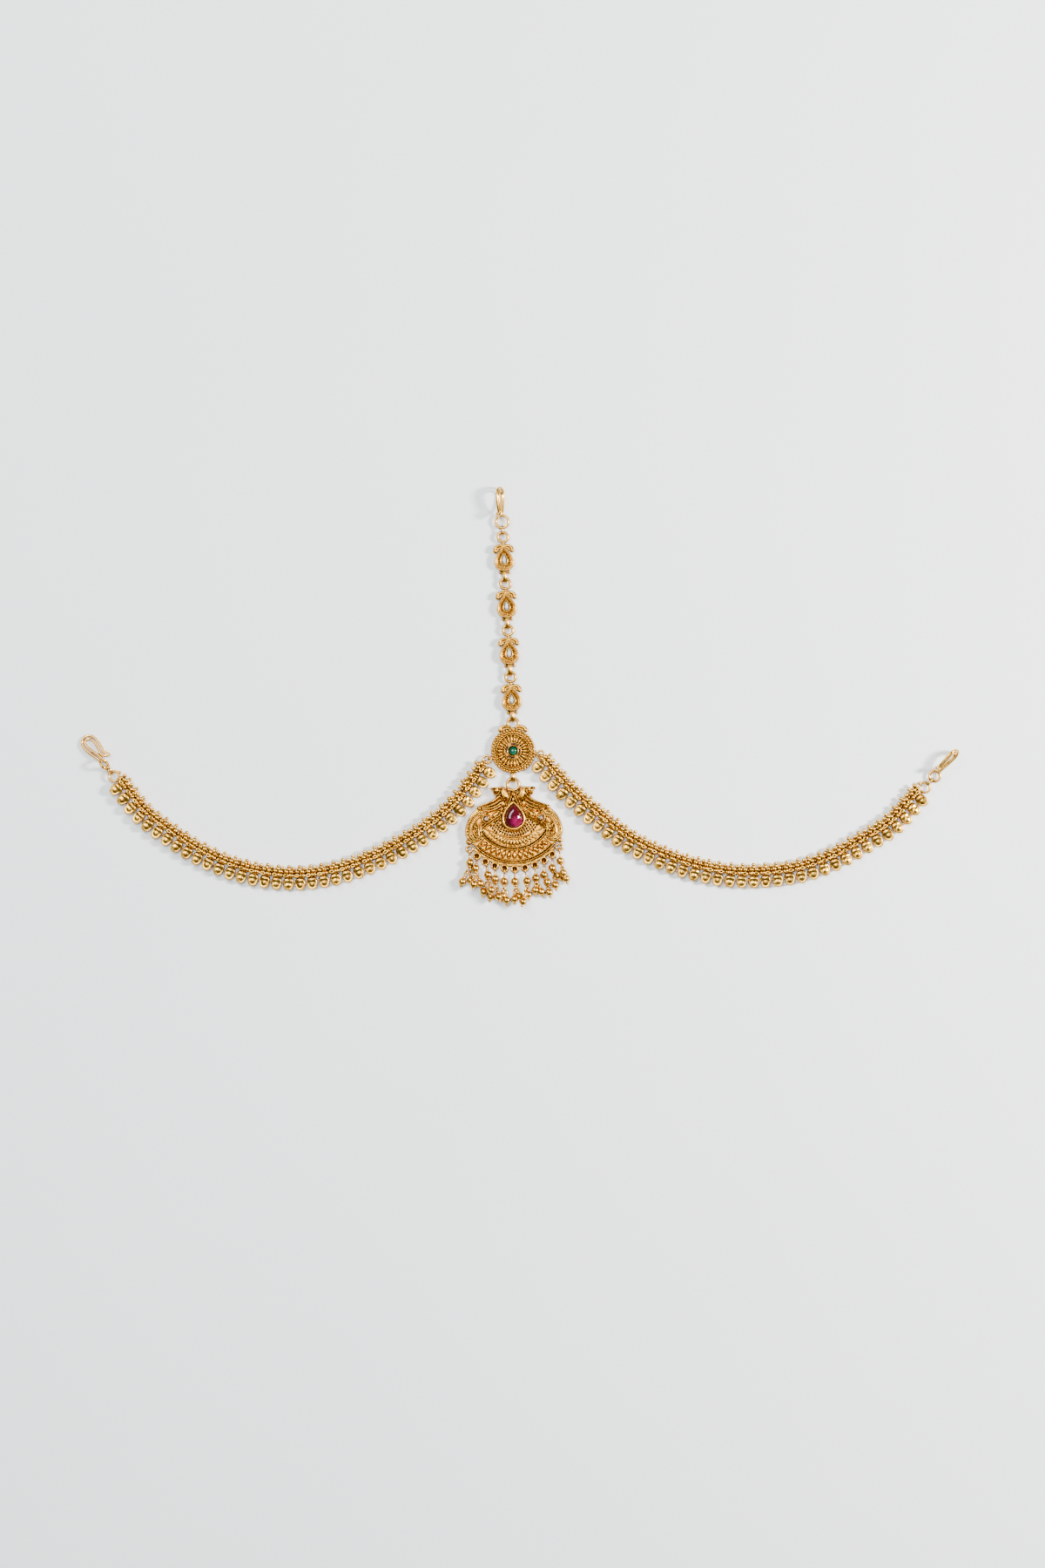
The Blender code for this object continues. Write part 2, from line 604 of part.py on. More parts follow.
def make_strand(name, ring_centre, route, side, material):
    """One side string: its drops along the route, bridged barrel to barrel, and a ring at each end."""
    pitch = max(DROP_WIDTH, BARREL_WIDTH) + UNIT_GAP
    level = DROP_DEPTH / 2 * math.cos(math.pi / DROP_SIDES)
    origin = Vector((ring_centre.x, ring_centre.y, level))
    places = spaced(smooth_route(route, origin), pitch)
    mesh = bmesh.new()
    before = None
    barrels = []
    for number, (centre, along) in enumerate(places):
        up = Vector((-along.y, along.x, 0)) * side
        loops = [[mesh.verts.new(point) for point in ring] for ring in unit_rings(centre, along, up)]
        top, low = loops[1], loops[2]
        mesh.faces.new(loops[0])
        bridge(mesh, loops[1], loops[0])
        for i in range(BARREL_SIDES):
            j = (i + 1) % BARREL_SIDES
            faces_next = i == BARREL_SIDES - 1 and number + 1 < len(places)
            faces_before = i == BARREL_SIDES // 2 - 1 and number
            if not faces_next and not faces_before:
                mesh.faces.new((top[i], top[j], low[j], low[i]))
        for lower, upper in zip(loops[2:], loops[3:]):
            bridge(mesh, lower, upper)
        if before:
            near = [before[0][-1], before[0][0], before[1][0], before[1][-1]]
            half = BARREL_SIDES // 2
            far = [top[half], top[half - 1], low[half - 1], low[half]]
            bridge(mesh, near, far)
        before = (top, low)
        barrels.append((centre + up * BARREL_TO_DROP, along, up))
    strand = make_object(name, mesh, material, smooth=True)

    first, along, up = barrels[0]
    inner_bead = first - along * (BARREL_WIDTH + JOINT_BEAD_RADIUS) / 2
    inner_ring = Vector((ring_centre.x, ring_centre.y, RING_HEIGHT))
    last, along, up = barrels[-1]
    outer_bead = last + along * (BARREL_WIDTH + JOINT_BEAD_RADIUS) / 2
    turn = math.radians(OUTER_RING_TURN)
    direction = along * math.cos(turn) - up * math.sin(turn)
    outer_ring = outer_bead + direction * (OUTER_RING_RADIUS + JOINT_BEAD_RADIUS * 0.6)
    outer_ring.z = RING_HEIGHT
    joined = [
        solid("inner_bead", add_bead, inner_bead, JOINT_BEAD_RADIUS),
        ring_solid("inner_ring", inner_ring, X, Y, INNER_RING_RADIUS, INNER_RING_RADIUS),
        solid("outer_bead", add_bead, outer_bead, JOINT_BEAD_RADIUS),
        ring_solid("outer_ring", outer_ring, X, Y, OUTER_RING_RADIUS, OUTER_RING_RADIUS),
    ]
    combine(strand, joined, "UNION")
    return outer_ring, along


def pendant_place():
    """Centre of the pendant's ring, which hangs from the medallion's lower bail."""
    return Vector((0, -MEDALLION_RADIUS - PENDANT_HANG - PENDANT_RING_RADIUS, RING_HEIGHT))


def arc_centre():
    return Vector((0, -PENDANT_ARC_DROP, 0))


def half_outline(rows, side):
    """Points of an outline table on the right (1) or left (-1) half of the pendant."""
    points = []
    for degrees, share in rows:
        point = polar(share * PENDANT_RADIUS, degrees)
        points.append(Vector((side * point.x, point.y, 0)) + arc_centre())
    return points


def arc(radius, start, end, steps):
    return [polar(radius, start + (end - start) * i / steps, arc_centre()) for i in range(steps + 1)]


def add_mound(mesh, outline, base, shoulder, top, share):
    """A raised form with a rounded shoulder: its outline, and the same drawn in towards its middle."""
    middle = sum(outline, Vector()) / len(outline)
    drawn_in = [middle.lerp(point, share) for point in outline]
    add_tiers(mesh, [(outline, base), (outline, shoulder), (drawn_in, top)])


def arc_band(radius, width, start, end, steps):
    return arc(radius + width / 2, start, end, steps) + arc(radius - width / 2, end, start, steps)


def lug_angle(number):
    return -90 + LUG_PITCH_ANGLE * (number - (LUG_COUNT - 1) / 2)


def make_pendant(gold, ruby):
    top = PLATE_THICKNESS
    sunk = top * 0.6
    edge = PENDANT_RADIUS * 1.04
    right = half_outline(PLATE_OUTLINE, 1)
    left = half_outline(PLATE_OUTLINE, -1)
    outline = right + arc(edge, -46, -134, 10) + left[:0:-1]
    mesh = bmesh.new()
    add_tiers(mesh, [(outline, 0), (outline, top)])
    pendant = make_object("pendant", mesh, gold)

    half_sweep = LUG_PITCH_ANGLE * LUG_COUNT / 2
    lug_edge = []
    for number in range(LUG_COUNT):
        lug = polar(LUG_ARC_RADIUS, lug_angle(number), arc_centre())
        for turn in (-60, -20, 20, 60):
            lug_edge.append(lug + polar(LUG_RADIUS, lug_angle(number) + turn))
    lug_back = arc(PENDANT_RADIUS, -90 + half_sweep - LUG_END_MARGIN, -90 - half_sweep + LUG_END_MARGIN, 10)
    level = Z * RING_HEIGHT
    lugs = lug_edge + lug_back
    rim = arc_band(PENDANT_RADIUS, BORDER_WIDTH, -90 - SEED_SWEEP / 2, -90 + SEED_SWEEP / 2, 8)
    stone_centre = Vector((0, -RUBY_DROP, 0))
    panel = arc(PANEL_RADIUS, -PANEL_CORNER_ANGLE, PANEL_CORNER_ANGLE - 180, 8)
    panel.append(stone_centre + Y * RUBY_LENGTH * 0.3)
    seat_width = RUBY_WIDTH + 2 * STONE_CLEARANCE
    seat_length = RUBY_LENGTH + 2 * STONE_CLEARANCE
    bezel = pear(seat_width + 2 * BEZEL_WALL, seat_length + 2 * BEZEL_WALL, 14, stone_centre)
    joined = [
        solid("lugs", add_tiers, [(lugs, top - LUG_THICKNESS), (lugs, top - LUG_STEP)]),
        solid("rim", add_tiers, [(rim, sunk), (rim, top + BORDER_RISE)]),
        solid("panel", add_tiers, [(panel, sunk), (panel, top + BORDER_RISE)]),
        solid("bezel", add_tiers, [(bezel, sunk), (bezel, top + BEZEL_RISE)]),
        ring_solid(
            "pendant_ring", level, X, Y, PENDANT_RING_RADIUS, PENDANT_RING_RADIUS, PENDANT_WIRE_RADIUS,
        ),
        solid("crown_bead", add_bead, level - Y * CROWN_BEAD_DROP, CROWN_BEAD_RADIUS),
    ]
    for side in (-1, 1):
        paisley = half_outline(PAISLEY_OUTLINE, side)
        wing = half_outline(WING_OUTLINE, side)
        breast = half_outline(BREAST_OUTLINE, side)
        mounds = (
            (paisley, PAISLEY_RISE * 0.6, PAISLEY_RISE, 0.6),
            (wing, BIRD_RISE * 0.6, BIRD_RISE, 0.5),
            (breast, BIRD_RISE * 0.7, BIRD_RISE * 1.4, 0.5),
        )
        for mound, shoulder, rise, share in mounds:
            joined.append(solid("mound", add_mound, mound, sunk, top + shoulder, top + rise, share))
        head, wing_knob, corner_knob = half_outline(KNOB_PLACES, side)
        joined.append(solid("bird_head", add_bead, head + Z * top, BIRD_HEAD_RADIUS))
        for radius, knob in ((WING_KNOB_RADIUS, wing_knob), (CORNER_KNOB_RADIUS, corner_knob)):
            joined.append(solid("knob", add_leaf, knob + Z * top, 2 * radius, 2 * radius, radius, 0))
    for i in range(SEED_COUNT):
        degrees = -90 + SEED_SWEEP * (i / (SEED_COUNT - 1) - 0.5)
        seed = polar(SEED_RADIUS, degrees, arc_centre()) + Z * top
        joined.append(solid("seed", add_leaf, seed, SEED_LENGTH, SEED_WIDTH, BORDER_RISE, degrees))
    combine(pendant, joined, "UNION")

    seat = pear(seat_width, seat_length, 14, stone_centre)
    cuts = [solid("stone_pocket", add_tiers, [(seat, top), (seat, top * 2 + BEZEL_RISE)])]
    for number in range(LUG_COUNT):
        lug = polar(LUG_ARC_RADIUS, lug_angle(number), arc_centre())
        hole = circle(lug, X, Y, LUG_HOLE_RADIUS, LUG_HOLE_RADIUS, 8, 0.5)
        cuts.append(solid("lug_hole", add_tiers, [(hole, 0), (hole, top * 2)]))
    for side in (-1, 1):
        for across, below in JALI_HOLES:
            middle = Vector((side * across * MM, -below * MM, 0))
            hole = circle(middle, X, Y, JALI_HOLE_RADIUS, JALI_HOLE_RADIUS, 4)
            cuts.append(solid("jali_hole", add_tiers, [(hole, -top), (hole, top * 3)]))
    combine(pendant, cuts, "DIFFERENCE")
    base = pendant_place()
    base.z = 0
    place(pendant, base, PENDANT_TILT)
    stone_base = top + STONE_CLEARANCE
    stone = make_cut_stone(
        "pendant_stone", RUBY_WIDTH, RUBY_LENGTH, RUBY_HEIGHT, stone_base, stone_centre, 14, ruby,
    )
    place(stone, base, PENDANT_TILT)


def wired_beads(path):
    """Rings of points of a wire from the path's first point, with a bead at each of the others."""
    rings = []
    for start, centre in zip(path, path[1:]):
        along = (centre - start).normalized()
        across = along.cross(Z).normalized()
        upward = across.cross(along)
        leave = start + along * DROP_BEAD_RADIUS if rings else start
        arrive = centre - along * DROP_BEAD_RADIUS * 0.95
        for point in (leave, arrive):
            rings.append(circle(point, across, upward, DROP_STEM_RADIUS, DROP_STEM_RADIUS, WIRE_SIDES))
        girth = DROP_BEAD_RADIUS * 0.92
        for step in (-0.45, 0.45):
            middle = centre + along * DROP_BEAD_RADIUS * step
            rings.append(circle(middle, across, upward, girth, girth, DROP_BEAD_SIDES, 0.5))
    rings.append([path[-1] + (path[-1] - path[-2]).normalized() * DROP_BEAD_RADIUS])
    return rings


def make_drop(number, row, gold):
    """One drop: a bail through its lug, an upper bead and two lower beads on short wires."""
    across, below, left_across, left_below, left_height, right_across, right_below, right_height = row
    turn = Matrix.Rotation(math.radians(PENDANT_TILT), 3, "Z")
    lug = pendant_place() + turn @ polar(LUG_ARC_RADIUS, lug_angle(number), arc_centre())
    lug.z = 0
    upper = Vector((across * MM, -below * MM, DROP_BEAD_RADIUS))
    lower_left = Vector((left_across * MM, -left_below * MM, left_height * MM))
    lower_right = Vector((right_across * MM, -right_below * MM, right_height * MM))
    direction = Vector((upper.x, upper.y, 0)).normalized()
    level = PLATE_THICKNESS - LUG_THICKNESS / 2
    bail = direction * (LUG_RADIUS + LUG_HOLE_RADIUS) / 2 + Z * level
    mesh = bmesh.new()
    skin(mesh, wired_beads([bail + direction * DROP_BAIL_RADIUS, upper, lower_left]))
    drop = make_object(f"drop_{number + 1}", mesh, gold, smooth=True)
    joined = [
        ring_solid("drop_bail", bail, direction, Z, DROP_BAIL_RADIUS, DROP_BAIL_RADIUS, DROP_WIRE_RADIUS),
        solid("lower_bead", skin, wired_beads([upper, lower_right])),
    ]
    combine(drop, joined, "UNION")
    place(drop, lug)


def build():
    clear_scene()
    gold = make_material("gold", GOLD, 0.32, 1.0)
    ruby = make_material("ruby", RUBY, 0.08, 0.0)
    emerald = make_material("emerald", EMERALD, 0.1, 0.0)
    clear = make_material("clear_stone", CLEAR, 0.05, 0.0)

    medallion_ring = make_medallion(gold, emerald)
    make_pendant(gold, ruby)
    for number, row in enumerate(DROPS):
        make_drop(number, row, gold)

    lean = Matrix.Rotation(math.radians(CHAIN_LEAN), 3, "Z") @ Y
    ring_below = MEDALLION_RING_RADIUS
    ring_place = Vector((medallion_ring.x, medallion_ring.y, 0))
    for number in range(CHAIN_LINKS, 0, -1):
        ring_place = ring_place + lean * CHAIN_PITCH
        make_chain_link(number, ring_place, ring_below, gold, clear)
        ring_below = CHAIN_RING_RADIUS
    level = Z * RING_HEIGHT
    link_top = ring_place + lean * CHAIN_RING_RADIUS + level
    hook_wire = link_top + lean * JOINING_SPAN
    make_joining_link("top_hook_link", link_top, hook_wire, gold)
    top_eye = hook_wire + lean * TOP_HOOK_EYE_RADIUS
    heading = math.radians(90 + CHAIN_LEAN)
    make_hook("top_hook", top_eye, heading, TOP_HOOK_EYE_RADIUS, TOP_HOOK_TURNS, 1, gold)

    sides = (
        (-1, "left", LEFT_EYE_ANGLE, LEFT_ROUTE, LEFT_HOOK_TURNS, LEFT_LINK_LEAN),
        (1, "right", RIGHT_EYE_ANGLE, RIGHT_ROUTE, RIGHT_HOOK_TURNS, 0),
    )
    for side, name, angle, route, turns, link_lean in sides:
        outer_ring, along = make_strand(f"{name}_strand", side_ring_centre(angle), route, side, gold)
        held = outer_ring + along * OUTER_RING_RADIUS
        eye_lift = Z * HOOK_EYE_RADIUS * math.sin(math.radians(turns[0])) * 0.5
        hook_wire = held + along * JOINING_SPAN + eye_lift
        cross = Z - Vector((-along.y, along.x, 0)) * link_lean
        make_joining_link(f"{name}_hook_link", held, hook_wire, gold, cross)
        heading = math.atan2(along.y, along.x)
        eye = hook_wire + along * HOOK_EYE_RADIUS
        make_hook(f"{name}_hook", eye, heading, HOOK_EYE_RADIUS, turns, side, gold)


build()
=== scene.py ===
"""Looks for the matha patti: gold work, cut stones, a pale floor and soft light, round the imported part.

Lengths are in millimetres here and turned into metres as each mesh is made. +X runs along the longest
side, +Y up the centre chain and +Z out of the ornament's face. The origin is the middle of the medallion's
back.
"""

import math

import bpy
import numpy as np
from mathutils import Matrix, Vector


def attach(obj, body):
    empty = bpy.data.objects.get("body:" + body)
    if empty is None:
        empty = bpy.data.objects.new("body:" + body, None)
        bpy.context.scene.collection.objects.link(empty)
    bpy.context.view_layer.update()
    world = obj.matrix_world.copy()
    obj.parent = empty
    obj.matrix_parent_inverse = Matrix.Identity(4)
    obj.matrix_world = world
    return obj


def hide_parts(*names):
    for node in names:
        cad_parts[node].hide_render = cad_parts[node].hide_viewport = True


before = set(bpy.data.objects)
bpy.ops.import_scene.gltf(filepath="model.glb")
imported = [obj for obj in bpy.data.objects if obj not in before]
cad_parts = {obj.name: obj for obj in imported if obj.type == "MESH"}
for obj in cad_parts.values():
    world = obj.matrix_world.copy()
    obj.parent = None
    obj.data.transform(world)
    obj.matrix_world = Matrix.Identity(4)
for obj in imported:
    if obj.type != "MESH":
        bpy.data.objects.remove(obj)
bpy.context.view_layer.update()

MM = 0.001
X = np.array([1.0, 0.0, 0.0])
Y = np.array([0.0, 1.0, 0.0])
Z = np.array([0.0, 0.0, 1.0])

# Sizes of the part and of its relief
BACK_LEVEL = 0.02
WIRE = 0.34
RING_LEVEL = 1.35
BAIL_RISE = 0.98
WIRE_CLEARANCE = 0.2
JOINING_SPAN = 1.75
MEDALLION_RADIUS = 8.5
MEDALLION_RING_RADIUS = 2.05
SPOKES = 26
ROPE_RADIUS = 6.28
RIM_BEADS = 42
SLOT_TURN = 75.0
SIDE_EYE_REACH = 0.55
LEFT_EYE_ANGLE = 198.2
RIGHT_EYE_ANGLE = 352.4
CHAIN_LINKS = 4
CHAIN_PITCH = 17.85
CHAIN_LEAN = 3.1
CHAIN_RING_RADIUS = 1.8
PEAR_WIDTH = 7.5
PEAR_LENGTH = 9.4
PEAR_DROP = 8.4
BARREL_TO_DROP = 3.5
BARREL_WIDTH = 3.8
UNIT_PITCH = 4.52
STRAND_LEVEL = 1.71
INNER_RING_RADIUS = 1.5
OUTER_RING_RADIUS = 2.0
OUTER_RING_TURN = 30.0
JOINT_BEAD_RADIUS = 0.8
# Points on each side strand's line of drops, from its inner ring
LEFT_ROUTE = [
    (0.9, -5.0), (-4.4, -12.1), (-10.3, -19.5), (-20.9, -28.3), (-32.4, -35.4), (-44.6, -41.3),
    (-57.8, -45.6), (-71.7, -47.4), (-85.4, -46.4), (-98.7, -43.1), (-111.3, -37.4), (-122.4, -30.3),
    (-133.2, -21.9), (-141.6, -11.3),
]
RIGHT_ROUTE = [
    (-0.8, -4.6), (5.4, -11.8), (11.8, -18.1), (22.2, -27.0), (32.9, -34.9), (45.4, -41.1), (58.3, -45.5),
    (72.1, -48.1), (85.6, -48.3), (99.7, -46.5), (112.8, -41.9), (124.7, -35.3), (136.2, -27.9),
    (145.7, -17.4),
]
HOOK_LENGTH = 12.7
HOOK_WIDTH = 4.6
HOOK_BAND = 1.45
HOOK_WIRE = 0.75
HOOK_EYE_RADIUS = 2.0
TOP_HOOK_EYE_RADIUS = 2.4
# Bends of a hook, as shares of its length and of its width
HOOK_PATH = [
    (0.13, 0.0), (0.27, -0.02), (0.58, -0.29), (0.80, -0.38), (0.94, -0.24), (0.98, 0.10), (0.93, 0.42),
    (0.80, 0.58), (0.60, 0.57), (0.41, 0.49), (0.30, 0.41), (0.22, 0.60), (0.20, 0.84),
]
# Roll of each hook's eye, then roll and pitch of its loop
TOP_HOOK_TURNS = (0, 65, -5.5)
LEFT_HOOK_TURNS = (60, 0, 8)
RIGHT_HOOK_TURNS = (0, 60, -5)
LEFT_LINK_LEAN = 0.6
PENDANT_TILT = 1.2
PENDANT_PLACE = (0.0, -12.85)
PENDANT_RING_RADIUS = 2.25
ARC_DROP = 9.9
LUG_ARC_RADIUS = 22.4
LUG_COUNT = 11
LUG_PITCH = 10.0
LUG_RADIUS = 1.5
LUG_HOLE_RADIUS = 0.88
RUBY_WIDTH = 7.2
RUBY_LENGTH = 9.2
RUBY_HEIGHT = 3.0
STONE_CENTRE = (0, -11.9)
PLATE = 1.6
PAISLEY_EYE = (10.55, -12.75)
EYE_HOLE_RADIUS = 0.62
DROP_BEAD_RADIUS = 1.4
DROP_SWELL = 0.12
DROP_BAIL_RADIUS = 0.97
# Each drop from its lug: x and depth of its upper bead, then x, depth and level of the left and right beads
DROPS = [
    (0.2, 5.2, -2.7, 12.5, 1.4, 0.5, 12.0, 1.4),
    (-0.5, 4.7, -1.2, 10.7, 3.9, 1.3, 10.5, 1.4),
    (1.0, 5.0, -0.5, 11.5, 1.4, 2.2, 10.7, 3.9),
    (0.2, 5.0, -1.5, 11.8, 1.4, 1.5, 11.7, 3.9),
    (-0.2, 5.0, -0.7, 10.5, 1.4, 0.8, 12.2, 1.4),
    (0.0, 4.8, 0.0, 11.5, 1.4, 1.8, 10.5, 1.4),
    (0.8, 5.0, -0.7, 12.8, 3.9, 1.3, 10.2, 1.4),
    (0.4, 5.0, 0.2, 9.6, 1.4, 2.5, 10.2, 1.4),
    (0.0, 5.5, 1.3, 8.3, 1.4, 2.0, 12.2, 1.4),
    (0.0, 5.2, 1.3, 11.7, 1.4, 2.3, 8.2, 1.4),
    (0.5, 5.3, 2.6, 12.0, 1.4, 1.6, 9.8, 3.9),
]

# A bean's dome is flatter than a ball's by this power
BEAN_FLATNESS = 1.6
EVERYWHERE = (slice(None), slice(None))

# Camera and lights, in metres
CAMERA_PLACE = (0.003667, -0.012667, 1.5)
LIT_PLACE = (0, -0.015, 0)


def point(x, y, z=0.0):
    return np.array([x, y, z], float)


def unit(vector):
    return vector / np.linalg.norm(vector)


def unit_rows(vectors):
    return vectors / np.linalg.norm(vectors, axis=1)[:, None]


def turns(count):
    """Equal steps round a full turn, in radians."""
    return 2 * np.pi * np.arange(count) / count


def dome(share):
    """Height of a dome, 1 in its middle and 0 at its rim, from a share that grows from 0 to 1 on the way."""
    return np.sqrt(np.clip(1 - share, 0, 1))


def polar(radius, degrees, z=0.0):
    angle = math.radians(degrees)
    return point(radius * math.cos(angle), radius * math.sin(angle), z)


def rotation(axis, degrees):
    return np.array(Matrix.Rotation(math.radians(degrees), 3, Vector(axis)))


def smooth_path(points, steps=6):
    """Points along a smooth curve through the given ones."""
    given = np.array([tuple(p) + (0.0,) * (3 - len(p)) for p in points], float)
    ends = np.vstack([2 * given[:1] - given[1:2], given, 2 * given[-1:] - given[-2:-1]])
    t = (np.arange(steps) / steps)[:, None]
    curve = []
    for before, start, end, after in zip(ends, ends[1:], ends[2:], ends[3:]):
        curve.append((2 * start + (end - before) * t + (2 * before - 5 * start + 4 * end - after) * t ** 2
                      + (3 * start - before - 3 * end + after) * t ** 3) / 2)
    curve.append(given[-1:])
    return np.vstack(curve)


def arc(radius, start, end, steps, centre=(0.0, -ARC_DROP)):
    """An arc from one bearing to another, about the centre of the pendant's arcs unless another is given."""
    angles = np.radians(np.linspace(start, end, steps + 1))
    across = centre[0] + radius * np.cos(angles)
    return np.stack([across, centre[1] + radius * np.sin(angles), np.zeros(steps + 1)], 1)


def circle(radius, level, count):
    angles = turns(count)
    return np.stack([radius * np.cos(angles), radius * np.sin(angles), np.full(count, level)], 1)


class Shells:
    """Shells of points gathered into one piece. Each block of faces has its shading and its material."""

    def __init__(self):
        self.points = []
        self.faces = []
        self.smooth = []
        self.slots = []
        self.total = 0

    def add(self, points, blocks, smooth=True, slot=0):
        """Adds a closed shell, with its faces turned outwards."""
        if volume(points, blocks) < 0:
            blocks = [block[:, ::-1] for block in blocks]
        for block in blocks:
            self.faces.append(block + self.total)
            self.smooth.append(np.full(len(block), smooth))
            self.slots.append(np.full(len(block), slot))
        self.points.append(points)
        self.total += len(points)

    def copy(self, other, matrix, offset):
        """Adds another gathering, turned or mirrored by the matrix and moved to the offset."""
        points = np.vstack(other.points) @ matrix.T + offset
        mirrored = np.linalg.det(matrix) < 0
        for block, smooth, slots in zip(other.faces, other.smooth, other.slots):
            self.faces.append((block[:, ::-1] if mirrored else block) + self.total)
            self.smooth.append(smooth)
            self.slots.append(slots)
        self.points.append(points)
        self.total += len(points)

    def make(self, name, materials, matrix=np.eye(3), offset=(0, 0, 0)):
        """The piece as an object that rides on the part and replaces the node of its own name."""
        points = np.vstack(self.points) @ matrix.T + offset
        sizes = np.concatenate([np.full(len(block), block.shape[1]) for block in self.faces])
        corners = np.concatenate([block.ravel() for block in self.faces])
        mesh = bpy.data.meshes.new(name)
        mesh.vertices.add(len(points))
        mesh.vertices.foreach_set("co", (points * MM).ravel())
        mesh.loops.add(len(corners))
        mesh.loops.foreach_set("vertex_index", corners.astype(np.int32))
        mesh.polygons.add(len(sizes))
        starts = np.concatenate([[0], np.cumsum(sizes)[:-1]])
        mesh.polygons.foreach_set("loop_start", starts.astype(np.int32))
        mesh.polygons.foreach_set("use_smooth", np.concatenate(self.smooth).astype(bool))
        mesh.polygons.foreach_set("material_index", np.concatenate(self.slots).astype(np.int32))
        mesh.update(calc_edges=True)
        mesh.validate()
        for material in materials:
            mesh.materials.append(material)
        piece = bpy.data.objects.new(f"{name}_detail", mesh)
        bpy.context.scene.collection.objects.link(piece)
        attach(piece, "root")
        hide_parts(name)


def volume(points, blocks):
    """Six times the volume of a closed shell, negative where its faces point inwards."""
    total = 0.0
    for block in blocks:
        corners = points[block]
        for i in range(1, block.shape[1] - 1):
            total += np.einsum("ij,ij->", corners[:, 0], np.cross(corners[:, i], corners[:, i + 1]))
    return total


def grid_faces(rows, columns, wrap_rows=False, wrap_columns=False):
    """Four-sided faces over a grid of points, which may join up along either way."""
    index = np.arange(rows * columns).reshape(rows, columns)
    if wrap_rows:
        index = np.vstack([index, index[:1]])
    if wrap_columns:
        index = np.hstack([index, index[:, :1]])
    return np.stack([index[:-1, :-1], index[:-1, 1:], index[1:, 1:], index[1:, :-1]], -1).reshape(-1, 4)


def fan(first, count, tip):
    """Triangles between a ring of points and one tip."""
    ring = first + np.arange(count)
    return np.stack([ring, np.roll(ring, -1), np.full(count, tip)], 1)


def add_lathe(shells, rings):
    """A closed shell through rings of equal count. Its first and last rings close on their own middles."""
    rings = np.asarray(rings, float)
    rows, columns = rings.shape[:2]
    body = grid_faces(rows, columns, wrap_columns=True)
    points = np.vstack([rings.reshape(-1, 3), rings[0].mean(0), rings[-1].mean(0)])
    first = rows * columns
    caps = np.vstack([fan(0, columns, first)[:, ::-1], fan((rows - 1) * columns, columns, first + 1)])
    shells.add(points, [body, caps])


def add_ball(shells, centre, radius, segments, rings, slot=0, matrix=np.eye(3)):
    """A ball, or an ellipsoid where the radius has three parts."""
    latitudes = np.pi * (np.arange(1, rings) / rings)
    longitudes = turns(segments)
    body = np.stack([
        np.outer(np.sin(latitudes), np.cos(longitudes)),
        np.outer(np.sin(latitudes), np.sin(longitudes)),
        np.outer(np.cos(latitudes), np.ones(segments)),
    ], -1)
    points = np.vstack([body.reshape(-1, 3), [[0, 0, 1]], [[0, 0, -1]]]) * radius @ matrix.T
    count = (rings - 1) * segments
    caps = np.vstack([fan(0, segments, count)[:, ::-1], fan(count - segments, segments, count + 1)])
    shells.add(points + centre, [grid_faces(rings - 1, segments, wrap_columns=True), caps], slot=slot)


def add_tube(shells, path, radius, sides=8, closed=False, normal=None):
    """A wire along a path. Open ends are rounded, and a normal keeps its sides in step with a flat path."""
    path = np.asarray(path, float)
    count = len(path)
    radius = np.broadcast_to(np.asarray(radius, float), (count,))
    tangent = unit_rows(np.roll(path, -1, 0) - np.roll(path, 1, 0) if closed else np.gradient(path, axis=0))
    if normal is not None:
        side = unit_rows(np.cross(tangent, normal))
    else:
        start = np.cross(tangent[0], Z)
        if np.linalg.norm(start) < 0.1:
            start = np.cross(tangent[0], X)
        side = [unit(start)]
        for direction in tangent[1:]:
            side.append(unit(side[-1] - direction * np.dot(side[-1], direction)))
    up = np.cross(side, tangent)
    stations = list(zip(path, side, up, radius))
    if not closed:
        # Shares of the radius by which each rounded end reaches out, and that its rings keep
        ends = ((-0.95, 0.3), (-0.8, 0.6), (-0.4, 0.92))
        first = [(path[0] + tangent[0] * radius[0] * a, side[0], up[0], radius[0] * b) for a, b in ends]
        last = [
            (path[-1] - tangent[-1] * radius[-1] * a, side[-1], up[-1], radius[-1] * b)
            for a, b in ends[::-1]
        ]
        stations = first + stations + last
    angles = turns(sides)
    rings = np.array([
        p + r * (np.outer(np.cos(angles), s) + np.outer(np.sin(angles), u)) for p, s, u, r in stations
    ])
    if closed:
        shells.add(rings.reshape(-1, 3), [grid_faces(count, sides, True, True)])
    else:
        add_lathe(shells, rings)


def add_ring(shells, centre, across, along, radius_across, radius_along, wire, count=36, sides=10):
    angles = turns(count)
    path = np.outer(np.cos(angles) * radius_across, across) + centre
    path = path + np.outer(np.sin(angles) * radius_along, along)
    add_tube(shells, path, wire, sides, closed=True, normal=np.cross(across, along))


def add_round(shells, centre, radius, wire, count=36, sides=10):
    """A round ring that lies flat."""
    add_ring(shells, centre, X, Y, radius, radius, wire, count, sides)


def add_grid_solid(shells, top, bottom, keep, wrap=False):
    """A closed solid between two grids of points, without the cells that keep leaves out."""
    rows, columns = top.shape[:2]
    faces = grid_faces(rows, columns, wrap_columns=wrap)[keep.ravel()]
    count = rows * columns
    edges = np.vstack([faces[:, [i, (i + 1) % 4]] for i in range(4)])
    codes = edges[:, 0] * count + edges[:, 1]
    start, end = edges[~np.isin(codes, edges[:, 1] * count + edges[:, 0])].T
    walls = np.stack([end, start, start + count, end + count], 1)
    blocks = np.vstack([faces, faces[:, ::-1] + count, walls])
    used, renamed = np.unique(blocks, return_inverse=True)
    points = np.vstack([top.reshape(-1, 3), bottom.reshape(-1, 3)])[used]
    shells.add(points, [renamed.reshape(-1, 4)])


